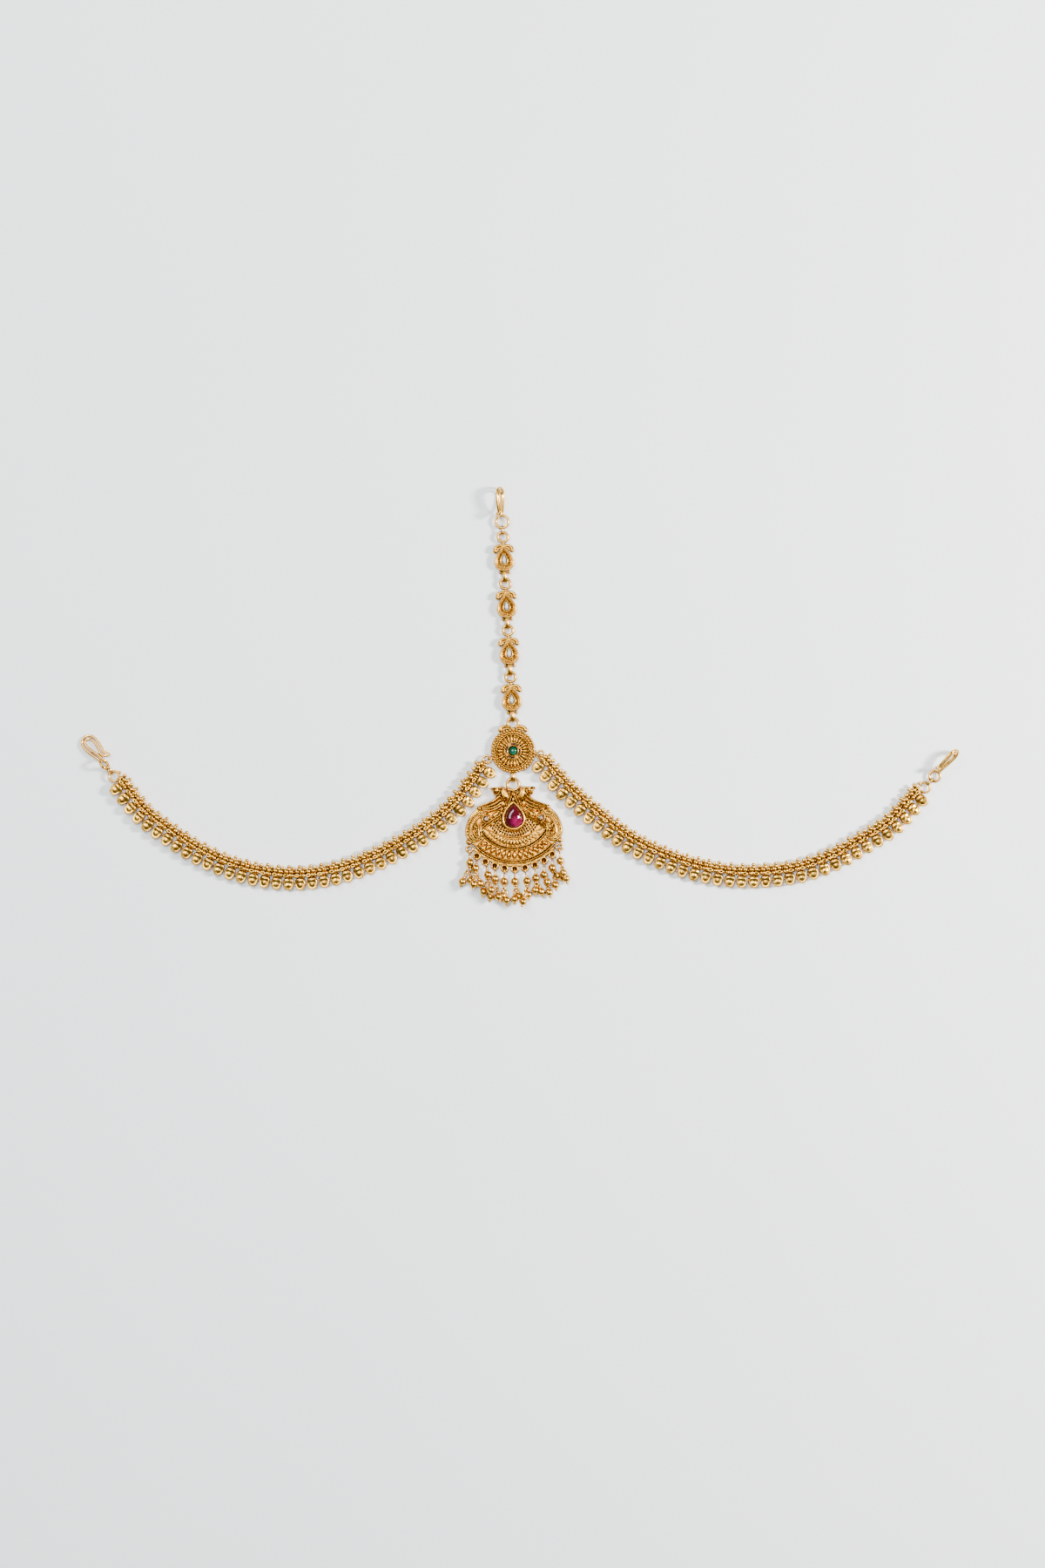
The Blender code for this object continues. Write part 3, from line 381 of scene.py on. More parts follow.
def pear(width, length, count, centre):
    """A pear outline, its point up and its middle at the centre."""
    fullness = 0.75
    angles = turns(count)
    across = np.sin(angles) * np.abs(np.sin(angles / 2)) ** fullness
    fine = np.linspace(0, np.pi, 201)
    widest = (np.sin(fine) * np.sin(fine / 2) ** fullness).max()
    return np.stack([centre[0] + across * width / 2 / widest, centre[1] + np.cos(angles) * length / 2], 1)


def lifted(outline, z):
    return np.column_stack([outline, np.full(len(outline), z)])


class Relief:
    """A height field over a rectangle, in millimetres, that ridges, mounds and pits are worked into."""

    def __init__(self, low, high, step, base):
        self.x = np.arange(low[0], high[0] + step / 2, step)
        self.y = np.arange(low[1], high[1] + step / 2, step)
        self.px, self.py = np.meshgrid(self.x, self.y)
        self.height = np.full(self.px.shape, float(base))
        self.step = step

    def window(self, outline, margin):
        """The rows and columns that hold an outline with a margin round it."""
        outline = np.asarray(outline)
        low = outline[:, :2].min(0) - margin
        high = outline[:, :2].max(0) + margin
        rows = slice(np.searchsorted(self.y, low[1]), np.searchsorted(self.y, high[1]))
        columns = slice(np.searchsorted(self.x, low[0]), np.searchsorted(self.x, high[0]))
        return rows, columns

    def distance(self, path, area):
        """Distance of each point of the area from the path, and how far along the path it is, from 0 to 1."""
        path = np.asarray(path)[:, :2]
        px, py = self.px[area], self.py[area]
        best = np.full(px.shape, 1e9)
        along = np.zeros(px.shape)
        for i, (start, end) in enumerate(zip(path, path[1:])):
            step = end - start
            share = ((px - start[0]) * step[0] + (py - start[1]) * step[1]) / max(step @ step, 1e-12)
            share = np.clip(share, 0, 1)
            gap = np.hypot(px - start[0] - share * step[0], py - start[1] - share * step[1])
            nearer = gap < best
            best = np.where(nearer, gap, best)
            along = np.where(nearer, (i + share) / (len(path) - 1), along)
        return best, along

    def inside(self, outline, area):
        px, py = self.px[area], self.py[area]
        outline = np.asarray(outline)[:, :2]
        result = np.zeros(px.shape, bool)
        for start, end in zip(outline, np.roll(outline, -1, 0)):
            crosses = (start[1] > py) != (end[1] > py)
            slope = (end[0] - start[0]) / (end[1] - start[1] + 1e-12)
            result ^= crosses & (px < start[0] + (py - start[1]) * slope)
        return result

    def outline_gap(self, outline):
        """Signed distance to a closed outline over the whole field, negative inside it."""
        outline = np.asarray(outline)[:, :2]
        gap, _ = self.distance(np.vstack([outline, outline[:1]]), EVERYWHERE)
        return np.where(self.inside(outline, EVERYWHERE), -gap, gap)

    def raise_to(self, area, chosen, level):
        here = self.height[area]
        self.height[area] = np.where(chosen, np.maximum(here, level), here)

    def ridge(self, path, width, top, base, end_width=None, notches=0, notch=0.0):
        """A rounded ridge of that width in millimetres, which may taper to its end and carry notches."""
        area = self.window(path, width)
        gap, along = self.distance(path, area)
        half = width / 2 + (0 if end_width is None else (end_width - width) / 2 * along)
        lift = dome((gap / np.maximum(half, 0.02)) ** 2)
        cuts = notch * (0.5 - 0.5 * np.cos(2 * np.pi * notches * along)) * (lift > 0)
        self.raise_to(area, lift > 0, base + (top - base) * lift - cuts)

    def line(self, points, width, top, base=1.2, end_width=None, steps=6):
        """A ridge along a smooth curve through a few points."""
        self.ridge(smooth_path(points, steps), width, top, base, end_width)

    def groove(self, path, width, depth, fade=False):
        area = self.window(path, width * 2)
        gap, along = self.distance(path, area)
        strength = np.exp(-(gap / (width / 2)) ** 2) * (np.sin(np.pi * along) ** 0.4 if fade else 1)
        self.height[area] -= depth * strength

    def mound(self, outline, top, base, shoulder):
        """A cushion inside an outline, which rises from the base over the shoulder's width."""
        area = self.window(outline, 0.2)
        outline = np.asarray(outline)[:, :2]
        gap, _ = self.distance(np.vstack([outline, outline[:1]]), area)
        depth = np.clip(gap / shoulder, 0, 1)
        self.raise_to(area, self.inside(outline, area), base + (top - base) * dome((1 - depth) ** 2))

    def sink(self, outline, level):
        """Cuts the field inside an outline down to a level."""
        area = self.window(outline, 0.2)
        here = self.height[area]
        self.height[area] = np.where(self.inside(outline, area), np.minimum(here, level), here)

    def bean(self, centre, half_length, half_width, degrees, top, base=1.2, bend=0.0, groove=0.0):
        """A seed or leaf: a domed oval, curved to one side, with an optional line down its middle."""
        area = self.window([np.add(centre, -half_length), np.add(centre, half_length)], half_width)
        angle = math.radians(degrees)
        dx, dy = self.px[area] - centre[0], self.py[area] - centre[1]
        u = (dx * math.cos(angle) + dy * math.sin(angle)) / half_length
        v = (-dx * math.sin(angle) + dy * math.cos(angle)) / half_width - bend * u * u
        lift = dome((u * u + v * v) ** BEAN_FLATNESS)
        line = groove * np.exp(-(v / 0.16) ** 2) * (lift > 0)
        self.raise_to(area, lift > 0, base + (top - base) * lift - line)

    def ball(self, centre, radius, top):
        area = self.window([np.add(centre, -radius), np.add(centre, radius)], 0.1)
        gap = np.hypot(self.px[area] - centre[0], self.py[area] - centre[1]) / radius
        self.raise_to(area, gap < 1, top - radius * (1 - dome(gap ** 2)))


# Materials

def add_node(tree, kind, **values):
    node = tree.nodes.new(kind)
    for name, value in values.items():
        setattr(node, name, value)
    return node


def mix_colours(tree, factor, first, second):
    mix = add_node(tree, "ShaderNodeMix", data_type="RGBA")
    for index, value in ((0, factor), (6, first), (7, second)):
        if isinstance(value, bpy.types.NodeSocket):
            tree.links.new(value, mix.inputs[index])
        else:
            mix.inputs[index].default_value = (*value, 1)
    return mix.outputs[2]


def map_range(tree, value, low, high, new_low=0.0, new_high=1.0):
    node = add_node(tree, "ShaderNodeMapRange", clamp=True)
    tree.links.new(value, node.inputs[0])
    for index, number in ((1, low), (2, high), (3, new_low), (4, new_high)):
        node.inputs[index].default_value = number
    return node.outputs[0]


def noise(tree, place, scale, detail=3.0, roughness=0.55):
    node = add_node(tree, "ShaderNodeTexNoise")
    node.inputs["Scale"].default_value = scale
    node.inputs["Detail"].default_value = detail
    node.inputs["Roughness"].default_value = roughness
    tree.links.new(place, node.inputs["Vector"])
    return node.outputs["Fac"]


def new_material(name):
    """A material, with its node tree, its shader and the place of each point on the object."""
    material = bpy.data.materials.new(name)
    material.use_nodes = True
    tree = material.node_tree
    place = add_node(tree, "ShaderNodeTexCoord").outputs["Object"]
    return material, tree, tree.nodes["Principled BSDF"], place


def make_gold(name, light, deep, painted_recess_shade, smooth_rough, worn_rough, painted_shade_reach, painted_shade_share, grain):
    """Gold darkened in its recesses by painted shade from an ambient-occlusion mask, tinted like a warm oxide
    film, with small shifts of hue and a hand-finished surface.
    """
    material, tree, shader, place = new_material(name)
    shader.inputs["Metallic"].default_value = 1.0
    shader.inputs["IOR"].default_value = 1.5
    broad = map_range(tree, noise(tree, place, 260.0), 0.35, 0.68)
    fine = noise(tree, place, 1900.0, 4.0, 0.6)
    hue = mix_colours(tree, broad, deep, light)
    # Painted shade: the base colour goes towards a near-black wherever the occlusion mask finds a recess
    shade_occlusion = add_node(tree, "ShaderNodeAmbientOcclusion", samples=8)
    shade_occlusion.inputs["Distance"].default_value = painted_shade_reach * MM
    painted_shade_amount = map_range(tree, shade_occlusion.outputs["AO"], 0.22, 0.92, painted_shade_share, 0.0)
    tree.links.new(mix_colours(tree, painted_shade_amount, hue, painted_recess_shade), shader.inputs["Base Color"])
    rough = map_range(tree, fine, 0.3, 0.7, smooth_rough, worn_rough)
    tree.links.new(rough, shader.inputs["Roughness"])
    bump = add_node(tree, "ShaderNodeBump")
    bump.inputs["Strength"].default_value = grain
    bump.inputs["Distance"].default_value = 0.04 * MM
    tree.links.new(noise(tree, place, 1100.0, 5.0, 0.65), bump.inputs["Height"])
    tree.links.new(bump.outputs["Normal"], shader.inputs["Normal"])
    return material


def make_gem(name, dark, painted_glow, painted_glow_place, painted_glow_reach, ior, clarity):
    """A foil-backed stone: deep colour with a painted glow, a brighter patch of painted light at one side of
    it, broken into painted glints by small cells.
    """
    material, tree, shader, place = new_material(name)
    shader.inputs["Roughness"].default_value = 0.04
    shader.inputs["IOR"].default_value = ior
    shader.inputs["Transmission Weight"].default_value = clarity
    shader.inputs["Coat Weight"].default_value = 0.2
    shader.inputs["Coat Roughness"].default_value = 0.02
    # Painted light: the base colour brightens towards the glow's place and flickers by cells as painted facet
    # glints
    offset = add_node(tree, "ShaderNodeVectorMath", operation="DISTANCE")
    tree.links.new(place, offset.inputs[0])
    offset.inputs[1].default_value = painted_glow_place * MM
    near = map_range(tree, offset.outputs["Value"], 0.0, painted_glow_reach * MM, 1.0, 0.0)
    cells = add_node(tree, "ShaderNodeTexVoronoi", feature="F1")
    cells.inputs["Scale"].default_value = 620.0
    tree.links.new(place, cells.inputs["Vector"])
    facets = add_node(tree, "ShaderNodeSeparateColor")
    tree.links.new(cells.outputs["Color"], facets.inputs[0])
    painted_glints = map_range(tree, facets.outputs[0], 0.1, 0.9, 0.15, 1.0)
    share = add_node(tree, "ShaderNodeMath", operation="MULTIPLY")
    tree.links.new(near, share.inputs[0])
    tree.links.new(painted_glints, share.inputs[1])
    tree.links.new(mix_colours(tree, share.outputs[0], dark, painted_glow), shader.inputs["Base Color"])
    return material


def make_floor_material():
    material, tree, shader, place = new_material("studio_floor")
    shader.inputs["Roughness"].default_value = 0.75
    mottled = map_range(tree, noise(tree, place, 9.0, 2.0), 0.3, 0.7)
    colour = mix_colours(tree, mottled, (0.86, 0.90, 0.915), (0.88, 0.92, 0.935))
    tree.links.new(colour, shader.inputs["Base Color"])
    return material


antique_gold = make_gold(
    "antique_gold", light=(0.68, 0.37, 0.053), deep=(0.55, 0.26, 0.026), painted_recess_shade=(0.07, 0.017, 0.002),
    smooth_rough=0.20, worn_rough=0.34, painted_shade_reach=0.75, painted_shade_share=0.88, grain=0.35,
)
bead_gold = make_gold(
    "bead_gold", light=(0.77, 0.44, 0.07), deep=(0.64, 0.32, 0.037), painted_recess_shade=(0.07, 0.017, 0.002),
    smooth_rough=0.22, worn_rough=0.34, painted_shade_reach=0.8, painted_shade_share=0.9, grain=0.3,
)
hook_gold = make_gold(
    "hook_gold", light=(0.76, 0.43, 0.067), deep=(0.66, 0.33, 0.037), painted_recess_shade=(0.12, 0.032, 0.003),
    smooth_rough=0.14, worn_rough=0.26, painted_shade_reach=0.7, painted_shade_share=0.6, grain=0.15,
)
# Near-black gold for the discs at the back of the lug holes: painted shade, a dark sheet where the open holes
# would only show shadow
shade_backing_gold = make_gold(
    "shade_backing_gold", light=(0.075, 0.024, 0.004), deep=(0.05, 0.014, 0.002), painted_recess_shade=(0.015, 0.004, 0.001),
    smooth_rough=0.4, worn_rough=0.6, painted_shade_reach=0.9, painted_shade_share=0.9, grain=0.4,
)
# Each stone's glow is painted light at a fixed place: the ruby's at its lower right, the green stone's near
# its middle, the clear stones' brighter up the chain
ruby_glass = make_gem(
    "ruby_glass", dark=(0.06, 0.001, 0.006), painted_glow=(0.68, 0.01, 0.19), painted_glow_place=point(1.5, -26.9, 2.6),
    painted_glow_reach=3.2, ior=1.6, clarity=0.1,
)
green_glass = make_gem(
    "green_glass", dark=(0.001, 0.05, 0.026), painted_glow=(0.008, 0.26, 0.13), painted_glow_place=point(0.5, -0.7, 2.0),
    painted_glow_reach=1.9, ior=1.5, clarity=0.1,
)
clear_glass = make_gem(
    "clear_glass", dark=(0.42, 0.43, 0.41), painted_glow=(0.66, 0.67, 0.65), painted_glow_place=point(0, 40, 1.5),
    painted_glow_reach=60.0, ior=1.6, clarity=0.35,
)


# Side strands

def thimble_drop():
    """The thimble-shaped drop of a strand, its top at +Y: domed shoulder, bevelled rim and hammered face."""
    count = 40
    half_width = 2.1
    shoulder_reach = 2.1
    tip_reach = 2.95
    turn = turns(count)
    upper = np.sin(turn) > 0
    x = half_width * np.sign(np.cos(turn)) * np.abs(np.cos(turn)) ** np.where(upper, 0.66, 0.92)
    y = 0.15 + np.where(upper, shoulder_reach, tip_reach) * np.sin(turn)
    # Each row's share of the outline and its level, from the back to the middle of the face
    profile = (
        (0.55, -1.62), (0.82, -1.4), (0.95, -0.9), (1.0, -0.3), (1.0, 0.15), (0.97, 0.5), (0.92, 0.74),
        (0.86, 0.86), (0.79, 0.88), (0.72, 0.8), (0.62, 0.82), (0.5, 0.82), (0.38, 0.82), (0.26, 0.82),
        (0.13, 0.82),
    )
    facets = [math.radians(90 + 72 * k) for k in range(5)]
    rows = []
    for share, level in profile:
        row = np.stack([x * share, y * share, np.full(count, level)], 1)
        if share < 0.8 and level > 0.5:
            across, up = row[:, 0], row[:, 1]
            shoulder = 0.55 * np.exp(-((up - 1.1) / 0.8) ** 2 - (across / 1.5) ** 2)
            slope = np.max([across * math.cos(a) + (up + 0.55) * math.sin(a) for a in facets], 0)
            row[:, 2] += np.maximum(shoulder, np.clip(0.4 - 0.36 * slope, 0, 1))
        rows.append(row)
    shells = Shells()
    add_lathe(shells, rows)
    return shells


def strand_unit():
    """One unit in its own frame: +X outwards along the strand, +Y towards its headers, +Z off the surface."""
    shells = thimble_drop()
    add_tube(shells, [point(0, 2.0, -0.1), point(0, 3.0, -0.1)], 0.7)
    # The barrel: a ball, a middle collar and an open loop
    add_ball(shells, point(-1.36, 3.0, 0.55), (0.92, 0.84, 0.84), 16, 10)
    add_ball(shells, point(-0.4, 3.06, 0.5), (0.6, 0.94, 0.84), 14, 9)
    add_ring(shells, point(1.02, 2.98, 0.8), X, Y, 0.82, 0.46, 0.42, 24, 8)
    add_tube(shells, [point(-2.0, 3.05, -0.1), point(2.0, 3.05, -0.1)], 0.55)
    # A small flower of three petals, and the ball above it
    for x, y, size in ((-0.9, 4.42, 1.0), (0.96, 4.5, 0.96), (0.02, 5.34, 0.92)):
        turn = rotation(Z, math.degrees(math.atan2(y - 4.3, x)))
        add_ball(shells, point(x, y, 0.55), (size, 0.8, 0.74), 16, 10, matrix=turn)
    add_ball(shells, point(-0.15, 6.36, 0.25), 0.74, 14, 9)
    # What joins it to the next unit: a dimpled ball on the top line, a small bead and a back strip
    add_round(shells, point(2.24, 5.72, 0.3), 0.38, 0.46, 18, 8)
    add_ball(shells, point(2.24, 5.72, 0.1), 0.55, 10, 6)
    add_ball(shells, point(2.26, 4.3, 0.05), 0.62, 12, 8)
    add_ball(shells, point(0, 4.2, -0.55), (2.4, 1.5, 0.4), 16, 8)
    return shells


def spaced(curve, pitch):
    """Points at equal steps along the curve, as near the pitch as fills it, each with its direction."""
    lengths = np.concatenate([[0], np.cumsum(np.linalg.norm(np.diff(curve, axis=0), axis=1))])
    count = int(lengths[-1] / pitch) + 1
    places = []
    for i in range(count):
        target = min(i * lengths[-1] / (count - 1), lengths[-1])
        segment = min(max(np.searchsorted(lengths, target) - 1, 0), len(curve) - 2)
        share = (target - lengths[segment]) / (lengths[segment + 1] - lengths[segment])
        step = curve[segment + 1] - curve[segment]
        places.append((curve[segment] + share * step, unit(step)))
    return places


def make_strand(name, eye_angle, route, side, template, jitter):
    """A side strand with a ring at each end. Returns its outer ring's middle and the direction there."""
    inner_ring = polar(MEDALLION_RADIUS + SIDE_EYE_REACH + INNER_RING_RADIUS, eye_angle, RING_LEVEL)
    curve = smooth_path([(inner_ring[0] + x, inner_ring[1] + y, STRAND_LEVEL) for x, y in route], 24)
    shells = Shells()
    barrels = []
    for centre, along in spaced(curve, UNIT_PITCH):
        up = np.cross(Z, along) * side
        twist = rotation(Y, jitter.uniform(-9, 9)) @ rotation(Z, jitter.uniform(-2.5, 2.5))
        shells.copy(template, np.stack([along, up, Z], 1) @ twist, centre)
        barrels.append((centre + up * BARREL_TO_DROP, along, up))
    to_bead = (BARREL_WIDTH + JOINT_BEAD_RADIUS) / 2
    first, along, _ = barrels[0]
    add_ball(shells, first - along * to_bead, JOINT_BEAD_RADIUS, 16, 10)
    add_round(shells, inner_ring, INNER_RING_RADIUS, WIRE * 1.2)
    last, along, up = barrels[-1]
    bead = last + along * to_bead
    add_ball(shells, bead, JOINT_BEAD_RADIUS * 0.95, 16, 10)
    turn = math.radians(OUTER_RING_TURN)
    direction = along * math.cos(turn) - up * math.sin(turn)
    outer_ring = bead + direction * (OUTER_RING_RADIUS + JOINT_BEAD_RADIUS * 0.6)
    outer_ring[2] = RING_LEVEL
    add_round(shells, outer_ring, OUTER_RING_RADIUS, WIRE * 1.3, 40)
    add_ball(shells, outer_ring - direction * 1.5 + np.cross(Z, direction) * 2.2 * side, 0.6, 12, 8)
    add_tube(shells, [last - up * 2.4, last - up * 1.2 + along * 1.6, bead], 0.4)
    shells.make(name, [bead_gold])
    return outer_ring, along


# Hooks and joining links

def make_joining_link(name, first, second, cross=Z):
    """An oval jump ring round two wires."""
    along = unit(second - first)
    across = unit(cross - along * np.dot(cross, along))
    half = np.linalg.norm(second - first) / 2 + 2 * WIRE + WIRE_CLEARANCE
    shells = Shells()
    add_ring(shells, (first + second) / 2, along, across, half, BAIL_RISE, WIRE * 1.1, 32)
    shells.make(name, [hook_gold])


def make_hook(name, eye, heading, eye_radius, rolls, side):
    """A clip bent from two parallel wires, which carries an eye ring."""
    eye_roll, loop_roll, loop_pitch = rolls
    loop_turn = rotation(Y, loop_pitch) @ rotation(X, loop_roll)
    bends = [
        loop_turn @ point(share * HOOK_LENGTH, side * across * HOOK_WIDTH) for share, across in HOOK_PATH
    ]
    bends[0][0] = eye_radius
    path = smooth_path([tuple(bend) for bend in bends])
    across = unit_rows(np.cross(unit_rows(np.gradient(path, axis=0)), unit(loop_turn @ Z)))
    shells = Shells()
    for sign in (-1, 1):
        add_tube(shells, path + sign * across * HOOK_BAND * 0.42, HOOK_WIRE * 0.62, 10)
    add_ring(shells, point(0, 0), X, rotation(X, eye_roll) @ Y, eye_radius, eye_radius, WIRE * 1.5, 40)
    add_tube(shells, [path[0] - across[0] * 0.8, path[0] + across[0] * 0.8], WIRE)
    shells.make(name, [hook_gold], rotation(Z, heading), eye)


# Centre chain

def add_bail(shells, inner_end, outer_end, wire=WIRE):
    along = unit(outer_end - inner_end)
    half = np.linalg.norm(outer_end - inner_end) / 2
    add_ring(shells, (inner_end + outer_end) / 2, along, Z, half, BAIL_RISE, wire, 28)


def add_strap(shells, inner_end, outer_end, width):
    """A bail seen from above as a rounded strap with a line down each edge."""
    across = np.cross(Z, unit(outer_end - inner_end))
    for side in (-1, 0, 1):
        shift = across * side * width * 0.32
        add_bail(shells, inner_end + shift, outer_end + shift, width * (0.3 if side else 0.36))


def add_pear_frame(shells):
    """The link's pear-shaped body: a smooth double frame, a ring of dark notches and the stone's collar."""
    count = 120
    notches = 26
    notch_depth = 0.6
    # Each section's inset from the outline and its level, from the edge inwards
    sections = (
        (0.0, 0.15), (0.0, 1.3), (0.15, 1.85), (0.55, 2.2), (1.05, 2.25), (1.45, 2.08), (1.6, 1.86),
        (1.7, 1.86), (1.9, 2.0), (2.2, 2.03), (2.45, 1.85), (2.55, 1.6), (2.65, 1.5), (3.0, 1.62),
        (3.4, 1.66), (3.8, 1.6), (4.05, 1.45), (4.2, 1.6), (4.55, 2.05), (5.0, 2.15), (5.35, 1.95),
        (5.6, 1.5), (5.7, 0.9),
    )
    notched = np.cos(notches * turns(count)) < -0.2
    rows = []
    for inset, level in ((0.2, BACK_LEVEL),) + sections:
        row = lifted(pear(PEAR_WIDTH - inset, PEAR_LENGTH - inset, count, (0, -PEAR_DROP)), level)
        if 2.9 < inset < 3.9:
            row[notched, 2] -= notch_depth
        rows.append(row)
    add_lathe(shells, rows)


def curled_leaf(shells, base, tip, side, level):
    """A small leaf that arches over and swells to a round tip, with a thinner line along its inner side."""
    run = tip - base
    outward = unit(np.cross(Z, run)) * side
    # Each line's stations, as shares of the run with their lifts, then its radius at both ends
    lines = (
        ((0.0, 0.0), (0.38, 0.95), (0.78, 0.85), (1.0, 0.0), 0.46, 0.88),
        ((0.15, -0.3), (0.42, 0.05), (0.62, 0.0), (0.72, -0.35), 0.34, 0.42),
    )
    for *stations, thin, thick in lines:
        route = [base + run * share + outward * lift for share, lift in stations]
        path = smooth_path([(x, y, level) for x, y, _ in route], 8)
        add_tube(shells, path, thin + (thick - thin) * np.linspace(0, 1, len(path)) ** 1.4, 12, normal=Z)


def facet_pear(shells, width, length, height, base, centre, table, rows, sides):
    """A pear-cut stone: a foot, a girdle, rows of offset crown facets and a flat table."""
    rings = []
    for size, rise in ((0.8, 0.0), (1.0, 0.42), (1.0, 0.5)):
        rings.append(lifted(pear(width * size, length * size, sides, centre), base + height * rise))
    first_crown = len(rings) - 1
    for step in range(1, rows + 1):
        share = step / rows
        size = 1 + (table - 1) * share
        outline = pear(width * size, length * size, sides * 2, centre)[step % 2::2]
        rings.append(lifted(outline, base + height * (0.5 + 0.5 * math.sin(share * math.pi / 2))))
    triangles = []
    for row in range(first_crown, len(rings) - 1):
        offset = (row - first_crown) % 2
        for i in range(sides):
            j = (i + 1) % sides
            here, above = row * sides, (row + 1) * sides
            left, right = (above + i, above + j) if offset else (above + (i - 1) % sides, above + i)
            triangles += [(here + i, here + j, right), (here + i, right, left)]
    middles = [ring.mean(0) for ring in (rings[-1], rings[0])]
    points = np.vstack(rings + middles)
    last = (len(rings) - 1) * sides
    foot = fan(0, sides, len(points) - 1)[:, ::-1]
    triangles = np.vstack([triangles, fan(last, sides, len(points) - 2), foot])
    shells.add(points, [grid_faces(first_crown + 1, sides, wrap_columns=True), triangles], False)


def make_chain_link(number, place, ring_below):
    shells = Shells()
    add_pear_frame(shells)
    add_round(shells, point(0, 0, RING_LEVEL), CHAIN_RING_RADIUS + 0.08, WIRE * 1.65, 40, 12)
    top = PEAR_LENGTH / 2 - PEAR_DROP
    bottom = -PEAR_DROP - PEAR_LENGTH / 2
    for side in (-1, 1):
        # The frame's ends cross under the ring and run out into the leaves
        bends = ((-1.35, -1.35, 1.5), (-0.35, -0.1, 1.75), (0.55, 0.85, 1.55), (1.5, 0.7, 1.4))
        path = smooth_path([(side * x, top + y, z) for x, y, z in bends])
        add_tube(shells, path, np.linspace(0.42, 0.36, len(path)))
        curled_leaf(shells, point(side * 0.5, top + 0.25), point(side * 3.2, top - 1.5), side, 1.6)
        add_ball(shells, point(side * 1.55, bottom - 0.42, 1.2), 0.68, 14, 9)
    add_tube(shells, [point(0, top - 0.6, 1.3), point(0, -CHAIN_RING_RADIUS, RING_LEVEL)], 0.42)
    bail_start = point(0, bottom + WIRE, RING_LEVEL)
    bail_end = point(0, -CHAIN_PITCH + ring_below - 2 * WIRE - WIRE_CLEARANCE, RING_LEVEL)
    add_strap(shells, bail_start, bail_end, 1.35)
    add_ball(shells, bail_start + point(0, -0.5, -0.25), (0.95, 0.6, 0.8), 12, 8)
    turn = rotation(Z, CHAIN_LEAN)
    shells.make(f"chain_link_{number}", [antique_gold], turn, place)
    stone = Shells()
    facet_pear(stone, 1.8, 3.66, 1.1, 1.0, (0, -PEAR_DROP), 0.5, 2, 10)
    stone.make(f"chain_stone_{number}", [clear_glass], turn, place)


# Medallion

def medallion_heights(r, a):
    """Height of the medallion's face at each radius and angle."""

    def hoop(radius, width, top, base):
        lift = dome(((r - radius) / (width / 2)) ** 2)
        return np.where(lift > 0, base + (top - base) * lift, 0)

    height = np.where(r < 1.75, 1.1, np.where(r > 6.6, 1.45, 1.35))
    height = np.maximum(height, hoop(2.05, 0.62, 2.75, 1.0))
    height = np.maximum(height, hoop(3.18, 0.5, 2.3, 1.2))
    # Spokes: broad round bars with a dark line between them, and a ball at both ends of each
    step = 2 * np.pi / SPOKES
    offset = np.abs((a + step / 2) % step - step / 2)
    spoke = 0.95 + 1.05 * dome((offset / (step * 0.37)) ** 4)
    height = np.where((r > 3.4) & (r < 5.95), spoke, height)
    for radius, size in ((3.72, 0.34), (5.56, 0.42)):
        near = np.hypot(r - radius, offset * r) / size
        height = np.where(near < 1, np.maximum(height, 1.85 + 0.5 * dome(near ** 2)), height)
    # A rope ring and a thin wire inside it
    rope = np.where(np.abs(r - ROPE_RADIUS) < 0.3, 0.07 * np.cos(a * 60), 0)
    height = np.maximum(height, hoop(ROPE_RADIUS, 0.62, 2.4, 1.2) + rope)
    return np.maximum(height, hoop(5.98, 0.3, 1.9, 1.2))


